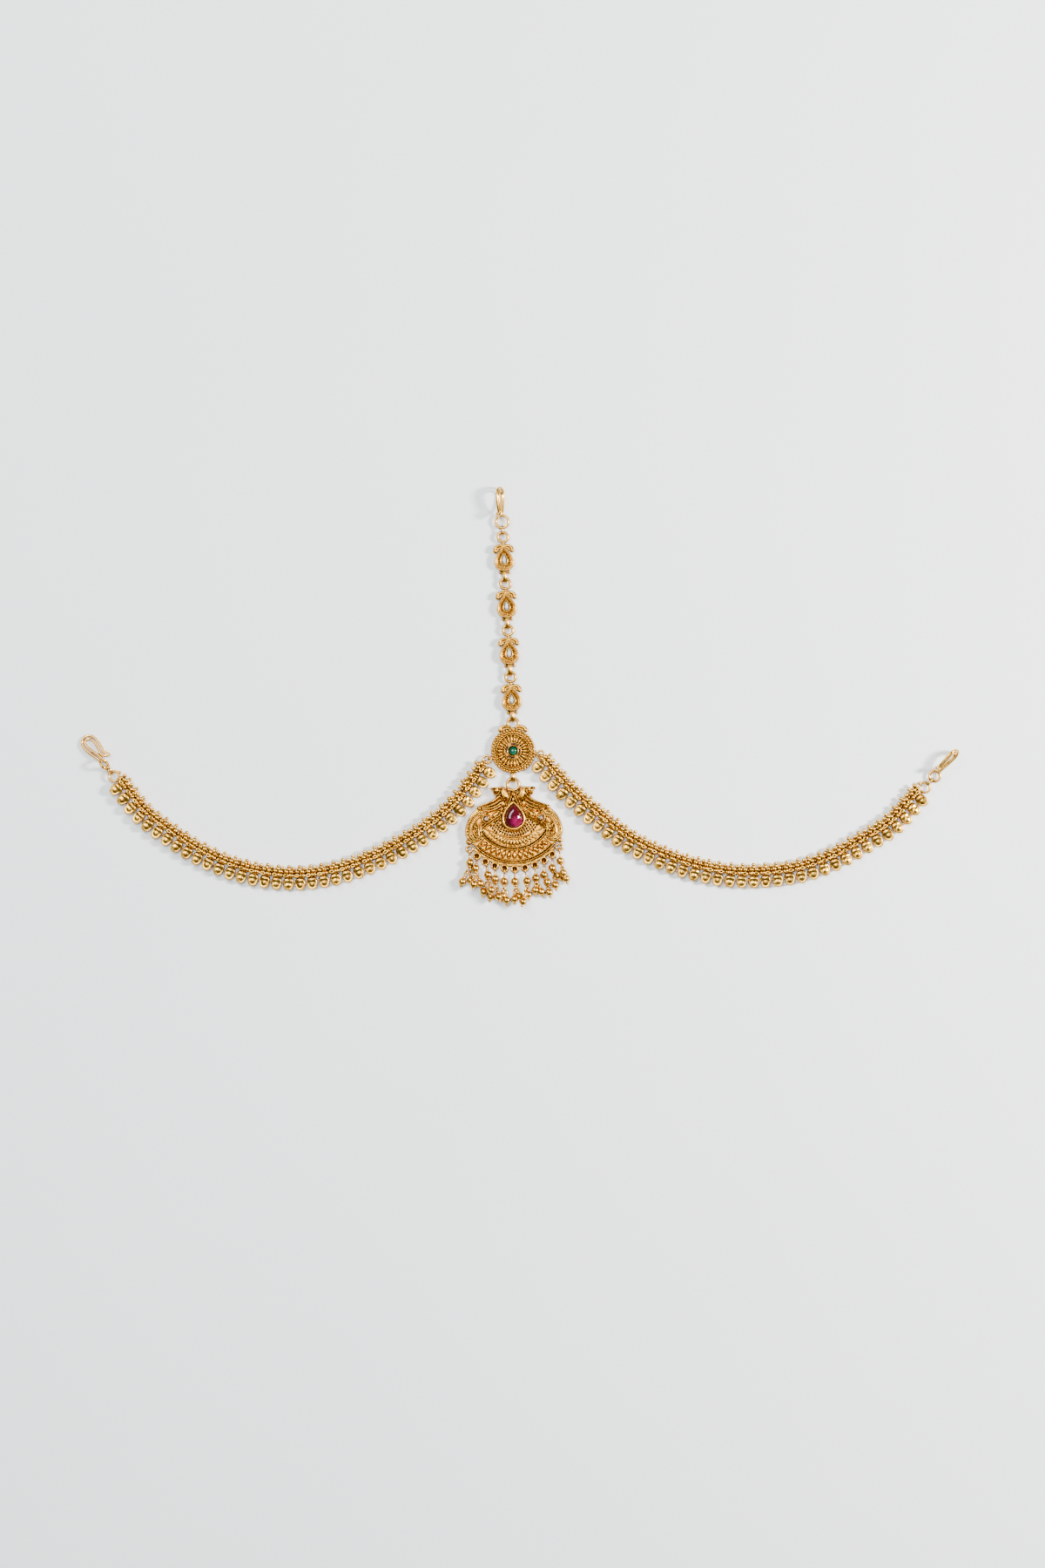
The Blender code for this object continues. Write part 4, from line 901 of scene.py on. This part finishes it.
def make_medallion():
    """The medallion and its stone. Returns the middle of its upper ring."""
    columns = 352
    slot_radius = 2.7
    radii = np.concatenate([
        np.linspace(0.2, 2.4, 16), np.linspace(2.47, 2.93, 5), np.linspace(3.0, 8.25, 52),
    ])
    angles = turns(columns)
    r, a = np.meshgrid(radii, angles, indexing="ij")
    top = np.stack([r * np.cos(a), r * np.sin(a), medallion_heights(r, a)], -1)
    # The four slots narrow towards the back, which keeps them dark
    narrowed = np.where(np.abs(r - slot_radius) < 0.25, slot_radius + (r - slot_radius) * 0.08, r)
    bottom = np.stack([narrowed * np.cos(a), narrowed * np.sin(a), np.full(r.shape, BACK_LEVEL)], -1)
    centre_r = (radii[:-1] + radii[1:]) / 2
    quarter = (np.degrees(angles) - SLOT_TURN + 45) % 90 - 45
    slots = ((centre_r > 2.45) & (centre_r < 2.96))[:, None] & (np.abs(quarter) < 32)[None, :]
    shells = Shells()
    add_grid_solid(shells, top, bottom, ~slots, wrap=True)
    add_lathe(shells, [circle(0.25, level, 22) for level in (BACK_LEVEL, 1.1)])
    for i in range(RIM_BEADS):
        turn = 360 / RIM_BEADS * (i + 0.5)
        add_ball(shells, polar(8.02, turn, 1.4), (0.64, 0.58, 0.62), 12, 8, matrix=rotation(Z, turn))
        add_ball(shells, polar(7.12, turn + 180 / RIM_BEADS, 1.6), 0.48, 10, 6)
    ring = point(0, MEDALLION_RADIUS + MEDALLION_RING_RADIUS - WIRE / 2, RING_LEVEL)
    add_round(shells, ring, MEDALLION_RING_RADIUS, WIRE * 1.75, 44, 12)
    for side in (-1, 1):
        base = point(side * 0.9, MEDALLION_RADIUS + 0.4)
        tip = point(side * 4.9, MEDALLION_RADIUS - 0.55)
        curled_leaf(shells, base, tip, side, 1.9)
    reach = MEDALLION_RADIUS + SIDE_EYE_REACH + 2 * WIRE + WIRE_CLEARANCE + 0.1
    for angle in (LEFT_EYE_ANGLE, RIGHT_EYE_ANGLE):
        start = polar(MEDALLION_RADIUS - WIRE, angle, RING_LEVEL)
        add_bail(shells, start, polar(reach, angle, RING_LEVEL))
    end = PENDANT_PLACE[1] + PENDANT_RING_RADIUS - 2 * WIRE - WIRE_CLEARANCE
    add_strap(shells, point(0, -MEDALLION_RADIUS + WIRE, RING_LEVEL), point(0, end, RING_LEVEL), 1.4)
    shells.make("medallion", [antique_gold])

    stone = Shells()
    rise = np.linspace(0, math.pi / 2, 12)[:-1]
    rows = [circle(1.6 * math.cos(t), 1.9 + 1.25 * math.sin(t), 32) for t in rise]
    add_lathe(stone, [circle(1.6, 1.2, 32)] + rows)
    stone.make("medallion_stone", [green_glass])
    return ring


# Pendant

def lug_bearing(number):
    return -90 + LUG_PITCH * (number - (LUG_COUNT - 1) / 2)


def on_arc(radius, bearing):
    """A place about the centre of the pendant's arcs."""
    return polar(radius, bearing)[:2] + (0, -ARC_DROP)


def plate_gap(field):
    """Signed distance to the edges of the plate, of its lug band and of the open holes in both."""
    px, py = field.px, field.py
    plate = smooth_path([
        (-1, -2.55), (1.2, -2.8), (2.0, -2.0), (2.9, -1.0), (4.1, -0.55), (5.2, -0.85), (6.4, -0.75),
        (7.7, -0.85), (8.75, -1.35), (8.1, -2.1), (7.75, -3.0), (7.35, -3.9), (6.7, -4.4), (7.6, -5.3),
        (9.4, -6.35), (11.3, -7.1), (12.7, -7.7), (13.9, -8.9), (15.4, -10.2), (17.0, -12.3), (18.2, -15.0),
        (18.75, -17.7), (18.3, -20.0), (17.6, -21.3), (16.6, -22.2), (15.8, -22.9),
    ])
    gap = field.outline_gap(np.vstack([plate, arc(20.35, -40, -93, 40), [(-1, -20, 0)]]))
    from_centre = np.hypot(px, py + ARC_DROP)
    bearing = np.degrees(np.arctan2(py + ARC_DROP, px))
    band_radius = 20.9
    band_half_width = 0.75
    past_end = (np.abs(bearing + 90) - 47) * 0.37
    band = np.maximum(np.abs(from_centre - band_radius) - band_half_width, past_end)
    gap = np.minimum(gap, band)
    for number in range(LUG_COUNT // 2, LUG_COUNT):
        lug = polar(LUG_ARC_RADIUS, lug_bearing(number))
        away = np.hypot(px - lug[0], py + ARC_DROP - lug[1])
        gap = np.maximum(np.minimum(gap, away - LUG_RADIUS), LUG_HOLE_RADIUS - away)
    field.height[from_centre > 20.4] = 0.95
    return np.maximum(gap, EYE_HOLE_RADIUS - np.hypot(px - PAISLEY_EYE[0], py - PAISLEY_EYE[1]))


def work_seeds(field):
    """The sunk band of seeds along the lower edge, between its rope and its wire."""
    field.sink(np.vstack([arc(15.3, -94, -43, 24), arc(18.9, -43, -94, 24)]), 0.75)
    for i in range(7):
        bearing = -90 + 7.15 * i
        field.bean(on_arc(17.12, bearing), 1.6 - 0.045 * i, 0.8, bearing + 5 * i, 2.35, 0.8, bend=-0.15)
    field.ridge(arc(19.95, -90, -42, 40), 0.8, 2.55, 1.1, notches=26, notch=0.16)
    field.ridge(arc(19.15, -90, -43, 40), 0.5, 2.25, 1.1)


def work_panel(field):
    """The panel: its leaf band and its double wire frame. Returns its outline and its inner wire."""
    frame_top = [(12.9, -16.9), (11.0, -15.2), (8.8, -13.6), (6.7, -12.3), (4.9, -11.3)]
    inner_wire = [(11.9, -17.0), (10.4, -15.8), (8.5, -14.5), (6.6, -13.3), (4.9, -12.3)]
    corners = [(11.6, -16.6), (8.8, -14.4), (4.5, -11.8), (-1.2, -10)]
    panel = np.vstack([arc(14.0, -95, -28, 30)[:, :2], corners])
    field.mound(panel, 1.6, 1.2, 0.2)
    for i in range(9):
        bearing = -90 + 5.7 * i
        place = on_arc(12.3 - 0.05 * i, bearing)
        bend = -0.2 * min(i, 1)
        field.bean(place, 1.62 - 0.07 * i, 0.56, bearing + 6.5 * i, 2.3, 1.5, bend, groove=0.22)
    for i in range(6):
        field.ball(on_arc(13.5, -87 + 8.6 * i), 0.36, 2.1)
    field.ridge(arc(18.6, -90, -54.5, 24, (0, -1.5)), 0.5, 2.2, 1.5)
    field.ridge(arc(14.15, -90, -30, 30), 0.6, 2.45, 1.2)
    field.groove(arc(14.58, -90, -29, 30), 0.3, 0.5)
    field.ridge(np.vstack([arc(14.98, -90, -29, 30)[:, :2], frame_top]), 0.62, 2.6, 1.1)
    field.ridge(inner_wire, 0.42, 2.3, 1.4)
    return panel, inner_wire


def work_paisley(field):
    """The paisley: a hatched border, a scroll in its field and a tip that curls into an open eye."""
    outer = smooth_path([
        (9.3, -11.2), (10.6, -10.5), (12.4, -10.2), (14.3, -10.9), (16.2, -12.7), (17.6, -15.2),
        (18.1, -17.7), (17.7, -19.9), (16.6, -21.1), (14.9, -21.5), (13.1, -21.0),
    ], 8)
    inner_edge = smooth_path([(12.6, -20.4), (12.5, -18.4), (12.7, -16.4), (12.2, -15.0), (11.2, -14.6)])
    body = np.vstack([outer[:, :2], inner_edge[:, :2], [(9.6, -14.2), (8.8, -12.8)]])
    field.mound(body, 2.3, 1.1, 0.9)
    hatch = smooth_path([
        (12.2, -11.1), (13.9, -11.6), (15.5, -13.2), (16.8, -15.5), (17.25, -17.7), (16.9, -19.5),
        (16.0, -20.5),
    ], 8)
    field.ridge(hatch, 1.7, 2.75, 1.4, notches=22, notch=1.0)
    field.ridge(outer[8:], 0.55, 2.85, 1.2)
    inside_line = smooth_path([
        (11.9, -12.2), (13.3, -12.4), (14.6, -13.8), (15.7, -15.7), (16.15, -17.7), (15.9, -19.2),
        (15.0, -20.1), (13.6, -20.1), (13.4, -18.4), (13.5, -16.4), (13.2, -14.9), (12.2, -14.0),
    ], 8)
    field.sink(inside_line, 1.35)
    field.ridge(inside_line, 0.5, 2.85, 1.3)
    field.ridge(inner_edge, 0.5, 2.7, 1.2)
    field.line([
        (14.2, -14.6), (14.9, -15.3), (14.7, -16.3), (14.1, -16.2), (14.25, -15.7), (14.2, -17.0),
        (15.0, -17.9), (15.2, -18.8), (14.5, -19.2), (14.2, -18.5), (14.7, -18.3),
    ], 0.5, 2.75, 1.3)
    for place in ((14.3, -15.5), (14.7, -18.6), (15.2, -16.7), (13.9, -17.6)):
        field.ball(place, 0.32, 2.5)
    for shift in range(4):
        y = -19.6 - 0.52 * shift
        field.line([(12.9, y + 0.25), (14.3, y - 0.1), (16.4 - 0.35 * shift, y + 0.55)], 0.36, 2.85, 1.8)

    def round_eye(radii, angles):
        places = [(radius * math.cos(t), radius * math.sin(t)) for radius, t in zip(radii, angles)]
        return np.add(places, PAISLEY_EYE)

    field.sink(round_eye(np.full(24, 1.5), np.linspace(0, 6.28, 24)), 1.0)
    spiral = round_eye(np.linspace(1.75, 0.85, 40), np.linspace(-1.9, 4.6, 40))
    field.ridge(spiral, 0.85, 3.0, 1.0, end_width=0.6)
    field.groove(outer[10:-6], 0.3, 0.55)


def work_wing(field):
    """The wing: feathers that sweep from the breast to the ball."""
    # Each feather's points, its width and its top
    feathers = (
        ([(5.4, -4.5), (7.4, -5.95), (9.8, -7.0), (12.6, -7.95)], 1.15, 2.7),
        ([(4.9, -5.7), (6.9, -7.05), (9.3, -7.95), (12.2, -8.5)], 1.1, 2.85),
        ([(4.7, -6.9), (6.5, -8.1), (9.0, -8.85), (11.9, -9.05)], 1.1, 2.7),
        ([(5.0, -8.1), (6.6, -9.1), (8.9, -9.75), (11.6, -9.6)], 1.0, 2.5),
    )
    wing = [(5.0, -4.4), (9.0, -6.3), (12.6, -7.7), (12.8, -9.4), (9.5, -10.6), (6.4, -9.9), (4.3, -8.4)]
    field.mound(wing, 1.75, 1.1, 0.3)
    for points, width, top in feathers:
        field.line(points, width, top, 1.5, width * 0.55, 8)
    for points, _, _ in feathers[:3]:
        field.groove(smooth_path([(x + 0.15, y - 0.62) for x, y in points], 8), 0.22, 0.35, fade=True)
    field.bean((7.15, -11.45), 1.65, 0.82, -36, 2.75, groove=0.15)
    field.bean((5.75, -10.3), 0.9, 0.5, -30, 2.4)


def work_bird(field):
    """The bird: breast, lower leaf, neck, head, crest and beak."""
    field.bean((3.25, -3.75), 2.95, 1.45, 70, 3.2, bend=0.12)
    for shift in (-0.5, 0.0, 0.5):
        vein = [(4.1 + shift * 0.6, -1.6), (3.3 + shift, -3.8), (2.55 + shift * 0.5, -5.9)]
        field.groove(smooth_path(vein), 0.2, 0.28, fade=True)
    field.bean((3.95, -7.3), 1.6, 0.85, 78, 2.85, groove=0.2)
    field.line([(4.0, -1.5), (5.0, -1.15), (6.0, -1.5), (6.6, -2.1)], 1.35, 3.0, 1.3, end_width=1.2)
    field.bean((6.55, -2.25), 1.35, 1.0, -25, 3.15, 1.3)
    # The crest, the beak and the neck's plumes: points, width, top, width at the end
    lines = (
        ([(6.2, -1.35), (7.3, -1.05), (8.5, -1.3)], 0.6, 2.8, 0.35),
        ([(7.0, -1.9), (7.8, -1.7), (8.4, -1.75)], 0.5, 2.6, 0.3),
        ([(7.2, -2.6), (7.5, -3.3), (7.1, -4.0)], 0.6, 2.6, 0.3),
        ([(5.1, -2.1), (5.5, -3.3), (6.4, -4.1)], 0.75, 2.7, 0.5),
        ([(4.6, -2.5), (5.0, -3.9), (5.9, -4.7)], 0.5, 2.4, 0.5),
    )
    for points, width, top, end_width in lines:
        field.line(points, width, top, end_width=end_width)
    field.ball((6.75, -2.2), 0.3, 3.4)


def work_crown(field):
    """The crown between the birds, and the seat and wall of the stone."""
    field.bean((0, -5.75), 1.15, 0.5, 90, 2.7, groove=0.15)
    field.line([(0.7, -4.3), (1.1, -5.9), (2.3, -7.9), (3.6, -9.2)], 0.6, 2.6, steps=8)
    field.line([(1.2, -3.3), (1.75, -5.3), (2.5, -6.9)], 0.5, 2.4, steps=8)
    field.line([(0.25, -6.4), (1.5, -8.0), (3.2, -9.9)], 0.45, 2.3, steps=8)
    collar = stone_outline(1.25, 72)
    field.sink(stone_outline(2.0, 72), 1.6)
    field.ridge(np.vstack([collar, collar[:1]]), 1.15, 3.3, 1.5)


def stone_outline(margin, count):
    """The pendant stone's outline with a margin added to its width and length."""
    return pear(RUBY_WIDTH + margin, RUBY_LENGTH + margin, count, STONE_CENTRE)


def pierced_holes(field, panel, inner_wire):
    """Signed distance into the small holes between the stone and the leaf band, positive in a hole."""
    bezel = field.outline_gap(stone_outline(1.9, 60))
    under = np.hypot(field.px, field.py + 1.5)
    frame_gap, _ = field.distance(inner_wire, EVERYWHERE)
    pierced = np.full(bezel.shape, -9.0)
    row_pitch = 0.98
    hole_pitch = 1.03
    for row, radius in enumerate(np.arange(4.66, 11.0, row_pitch)):
        step = math.degrees(hole_pitch / radius)
        first = -90 + (0.5 * step if row % 2 else 0)
        for bearing in np.arange(first, 0, step):
            x, y = on_arc(radius, bearing)
            near = (np.abs(field.y - y).argmin(), np.abs(field.x - x).argmin())
            clear = bezel[near] >= 0.38 and under[near] <= 18.15 and frame_gap[near] >= 0.6
            if clear and field.py[near] <= -12.6 and field.inside(panel, near):
                size = 0.255 + 0.06 * max(0.0, -y - 17) / 3
                pierced = np.maximum(pierced, size - np.hypot(field.px - x, field.py - y))
    return pierced


def pendant_half():
    """The pendant's right half: its field, the signed distance to its edges, and that into its holes."""
    field = Relief((0, -33.0), (19.5, -0.3), 0.15, 1.15)
    gap = plate_gap(field)
    work_seeds(field)
    panel, inner_wire = work_panel(field)
    work_paisley(field)
    work_wing(field)
    work_bird(field)
    work_crown(field)
    pierced = pierced_holes(field, panel, inner_wire)
    return field, np.maximum(gap, pierced), pierced


def add_pendant_plate(shells):
    """The plate: the half field and its mirror image, cut out along its true outline and its holes."""
    field, gap, pierced = pendant_half()
    height, gap, pierced = (np.hstack([half[:, :0:-1], half]) for half in (field.height, gap, pierced))
    px, py = np.meshgrid(np.concatenate([-field.x[:0:-1], field.x]), field.y)
    cells = (gap[:-1, :-1] + gap[1:, :-1] + gap[:-1, 1:] + gap[1:, 1:]) / 4 < 0
    # Points on an edge move onto the true outline, so that edges and holes are smooth
    used = np.zeros(gap.shape)
    near_side, far_side = slice(0, -1), slice(1, None)
    for rows in (near_side, far_side):
        for columns in (near_side, far_side):
            used[rows, columns] += cells
    edge = (used > 0) & (used < 4)
    slope_y, slope_x = np.gradient(gap, field.step)
    steep = np.maximum(slope_x ** 2 + slope_y ** 2, 0.3)
    reach = 0.75 * field.step
    px = px - np.where(edge, np.clip(gap * slope_x / steep, -reach, reach), 0)
    py = py - np.where(edge, np.clip(gap * slope_y / steep, -reach, reach), 0)
    edge_drop = np.clip((gap + 0.35) / 0.35, 0, 1) ** 2 * 0.35
    # The pierced holes taper towards the back, which keeps them dark
    taper = np.where(edge & (pierced > -0.12), 0.2, 0) / np.sqrt(steep)
    top = np.stack([px, py, height - edge_drop], -1)
    bottom = np.stack([px + taper * slope_x, py + taper * slope_y, np.full(px.shape, BACK_LEVEL)], -1)
    add_grid_solid(shells, top, bottom, cells)


def make_pendant():
    shells = Shells()
    add_pendant_plate(shells)
    # Collar of the stone, rings below the rim, balls and the ring it hangs by
    add_tube(shells, lifted(stone_outline(0.95, 96), 3.35), 0.52, 12, closed=True, normal=Z)
    for number in range(LUG_COUNT):
        lug = polar(LUG_ARC_RADIUS, lug_bearing(number)) - point(0, ARC_DROP)
        add_round(shells, lug + Z * 1.25, 1.2, 0.42, 28)
        add_round(shells, lug + Z * 0.62, 1.18, 0.34, 24, 8)
        # A dark disc at the back of each middle lug: painted shade inside its hole
        if 0 < number < LUG_COUNT - 1:
            add_ball(shells, lug + Z * 0.06, (0.98, 0.98, 0.05), 20, 4, slot=1)
    for side in (-1, 1):
        add_ball(shells, point(side * 13.2, -8.8, 1.9), 0.9, 18, 12)
        add_ball(shells, point(side * 17.55, -21.65, 1.3), 1.02, 18, 12)
        add_ball(shells, point(side * 4.62, -9.75, 2.3), 0.62, 14, 10)
        for x, y in ((16.55, -21.75), (15.9, -22.25), (15.3, -22.8)):
            add_ball(shells, point(side * x, y, 1.9), 0.42, 12, 8)
    add_ball(shells, point(0, -3.75, RING_LEVEL + 0.6), 0.9, 18, 12)
    add_ball(shells, point(0, -3.1, RING_LEVEL), 0.7, 12, 8)
    add_round(shells, point(0, 0, RING_LEVEL), PENDANT_RING_RADIUS, 0.6, 48, 12)
    turn = rotation(Z, PENDANT_TILT)
    place = point(*PENDANT_PLACE)
    shells.make("pendant", [antique_gold, shade_backing_gold], turn, place)

    stone = Shells()
    facet_pear(stone, RUBY_WIDTH, RUBY_LENGTH, RUBY_HEIGHT, PLATE + 0.1, STONE_CENTRE, 0.34, 4, 14)
    stone.make("pendant_stone", [ruby_glass], turn, place)


# Drops

def add_hanging(shells, start, centre):
    """A bead on two small links and tiny balls, below the bead that it hangs from."""
    along = unit(centre - start)
    across = unit(np.cross(along, Z))
    upward = np.cross(across, along)
    leave = start + along * DROP_BEAD_RADIUS * 0.96
    arrive = centre - along * DROP_BEAD_RADIUS * 0.96
    span = np.linalg.norm(arrive - leave)
    add_ball(shells, leave + along * 0.25, 0.62, 12, 8)
    add_ball(shells, arrive - along * 0.3, 0.66, 12, 8)
    half = (span - 0.9) / 4 + 0.12
    for side, share in ((upward, 0.3), (across, 0.68)):
        add_ring(shells, leave + along * span * share, along, side, half, 0.52, 0.28, 20, 8)
    add_ball(shells, centre, DROP_BEAD_RADIUS + DROP_SWELL, 24, 16)
    add_ball(shells, centre + along * (DROP_BEAD_RADIUS + 0.35), 0.55, 12, 8)


def make_drop(number, row):
    across, below, left_x, left_y, left_z, right_x, right_y, right_z = row
    lug_place = polar(LUG_ARC_RADIUS, lug_bearing(number)) - point(0, ARC_DROP)
    lug = point(*PENDANT_PLACE) + rotation(Z, PENDANT_TILT) @ lug_place
    upper = point(across, -below, DROP_BEAD_RADIUS)
    direction = unit(point(upper[0], upper[1]))
    to_lug_wire = 1.225
    bail = direction * to_lug_wire + Z * (PLATE - 0.4)
    shells = Shells()
    add_ring(shells, bail, direction, Z, DROP_BAIL_RADIUS, DROP_BAIL_RADIUS, 0.26, 28)
    hang = bail + direction * DROP_BAIL_RADIUS
    along = unit(upper - hang)
    add_ball(shells, upper - along * (DROP_BEAD_RADIUS + 0.15), 0.55, 12, 8)
    add_tube(shells, [hang, upper - along * DROP_BEAD_RADIUS], 0.3)
    side = unit(np.cross(along, Z))
    add_ring(shells, hang + along * 0.35, side, np.cross(side, along), 0.36, 0.36, 0.14, 16, 6)
    add_ball(shells, upper, DROP_BEAD_RADIUS + DROP_SWELL, 24, 16)
    add_hanging(shells, upper, point(left_x, -left_y, left_z))
    add_hanging(shells, upper, point(right_x, -right_y, right_z))
    shells.make(f"drop_{number + 1}", [bead_gold], offset=lug)


# Assembly

def make_ornament():
    jitter = np.random.default_rng(11)
    medallion_ring = make_medallion()
    make_pendant()
    for number, row in enumerate(DROPS):
        make_drop(number, row)
    lean = rotation(Z, CHAIN_LEAN) @ Y
    ring_below = MEDALLION_RING_RADIUS
    place = point(medallion_ring[0], medallion_ring[1])
    for number in range(CHAIN_LINKS, 0, -1):
        place = place + lean * CHAIN_PITCH
        make_chain_link(number, place, ring_below)
        ring_below = CHAIN_RING_RADIUS
    held = place + lean * CHAIN_RING_RADIUS + Z * RING_LEVEL
    hook_wire = held + lean * JOINING_SPAN
    make_joining_link("top_hook_link", held, hook_wire)
    eye = hook_wire + lean * TOP_HOOK_EYE_RADIUS
    make_hook("top_hook", eye, 90 + CHAIN_LEAN, TOP_HOOK_EYE_RADIUS, TOP_HOOK_TURNS, 1)
    template = strand_unit()
    sides = (
        (-1, "left", LEFT_EYE_ANGLE, LEFT_ROUTE, LEFT_HOOK_TURNS, LEFT_LINK_LEAN),
        (1, "right", RIGHT_EYE_ANGLE, RIGHT_ROUTE, RIGHT_HOOK_TURNS, 0),
    )
    for side, name, angle, route, rolls, link_lean in sides:
        outer_ring, along = make_strand(f"{name}_strand", angle, route, side, template, jitter)
        held = outer_ring + along * OUTER_RING_RADIUS
        rise = HOOK_EYE_RADIUS * math.sin(math.radians(rolls[0])) * 0.5
        hook_wire = held + along * JOINING_SPAN + Z * rise
        make_joining_link(f"{name}_hook_link", held, hook_wire, Z - np.cross(Z, along) * link_lean)
        heading = math.degrees(math.atan2(along[1], along[0]))
        make_hook(f"{name}_hook", hook_wire + along * HOOK_EYE_RADIUS, heading, HOOK_EYE_RADIUS, rolls, side)


# Studio

def add_to_scene(name, data):
    obj = bpy.data.objects.new(name, data)
    bpy.context.scene.collection.objects.link(obj)
    return obj


def add_area_light(name, location, size, power, colour=(1, 1, 1)):
    """A soft light aimed at the middle of the ornament."""
    data = bpy.data.lights.new(name, "AREA")
    data.shape = "RECTANGLE"
    data.size, data.size_y = size
    data.energy = power
    data.color = colour
    light = add_to_scene(name, data)
    light.location = location
    direction = Vector(LIT_PLACE) - light.location
    light.rotation_euler = direction.to_track_quat("-Z", "Y").to_euler()


def make_studio():
    mesh = bpy.data.meshes.new("floor")
    mesh.from_pydata([(-3, -3, 0), (3, -3, 0), (3, 3, 0), (-3, 3, 0)], [], [(0, 1, 2, 3)])
    mesh.materials.append(make_floor_material())
    add_to_scene("floor", mesh)

    world = bpy.data.worlds.new("studio")
    bpy.context.scene.world = world
    world.use_nodes = True
    world.node_tree.nodes["Background"].inputs["Color"].default_value = (0.90, 0.95, 1.0, 1)
    world.node_tree.nodes["Background"].inputs["Strength"].default_value = 0.12
    add_area_light("overhead", (-0.3, 0.35, 1.7), (1.25, 0.95), 46.0, (0.98, 0.99, 1.0))
    add_area_light("key", (0.95, 0.1, 0.6), (0.2, 0.2), 38.0, (1.0, 0.98, 0.95))
    add_area_light("sparkle", (-0.6, 0.75, 0.8), (0.12, 0.12), 7.0)

    data = bpy.data.cameras.new("camera")
    data.lens = 90
    data.sensor_width = 36
    camera = add_to_scene("camera", data)
    camera.location = CAMERA_PLACE
    bpy.context.scene.camera = camera


make_ornament()
make_studio()
bpy.context.view_layer.update()
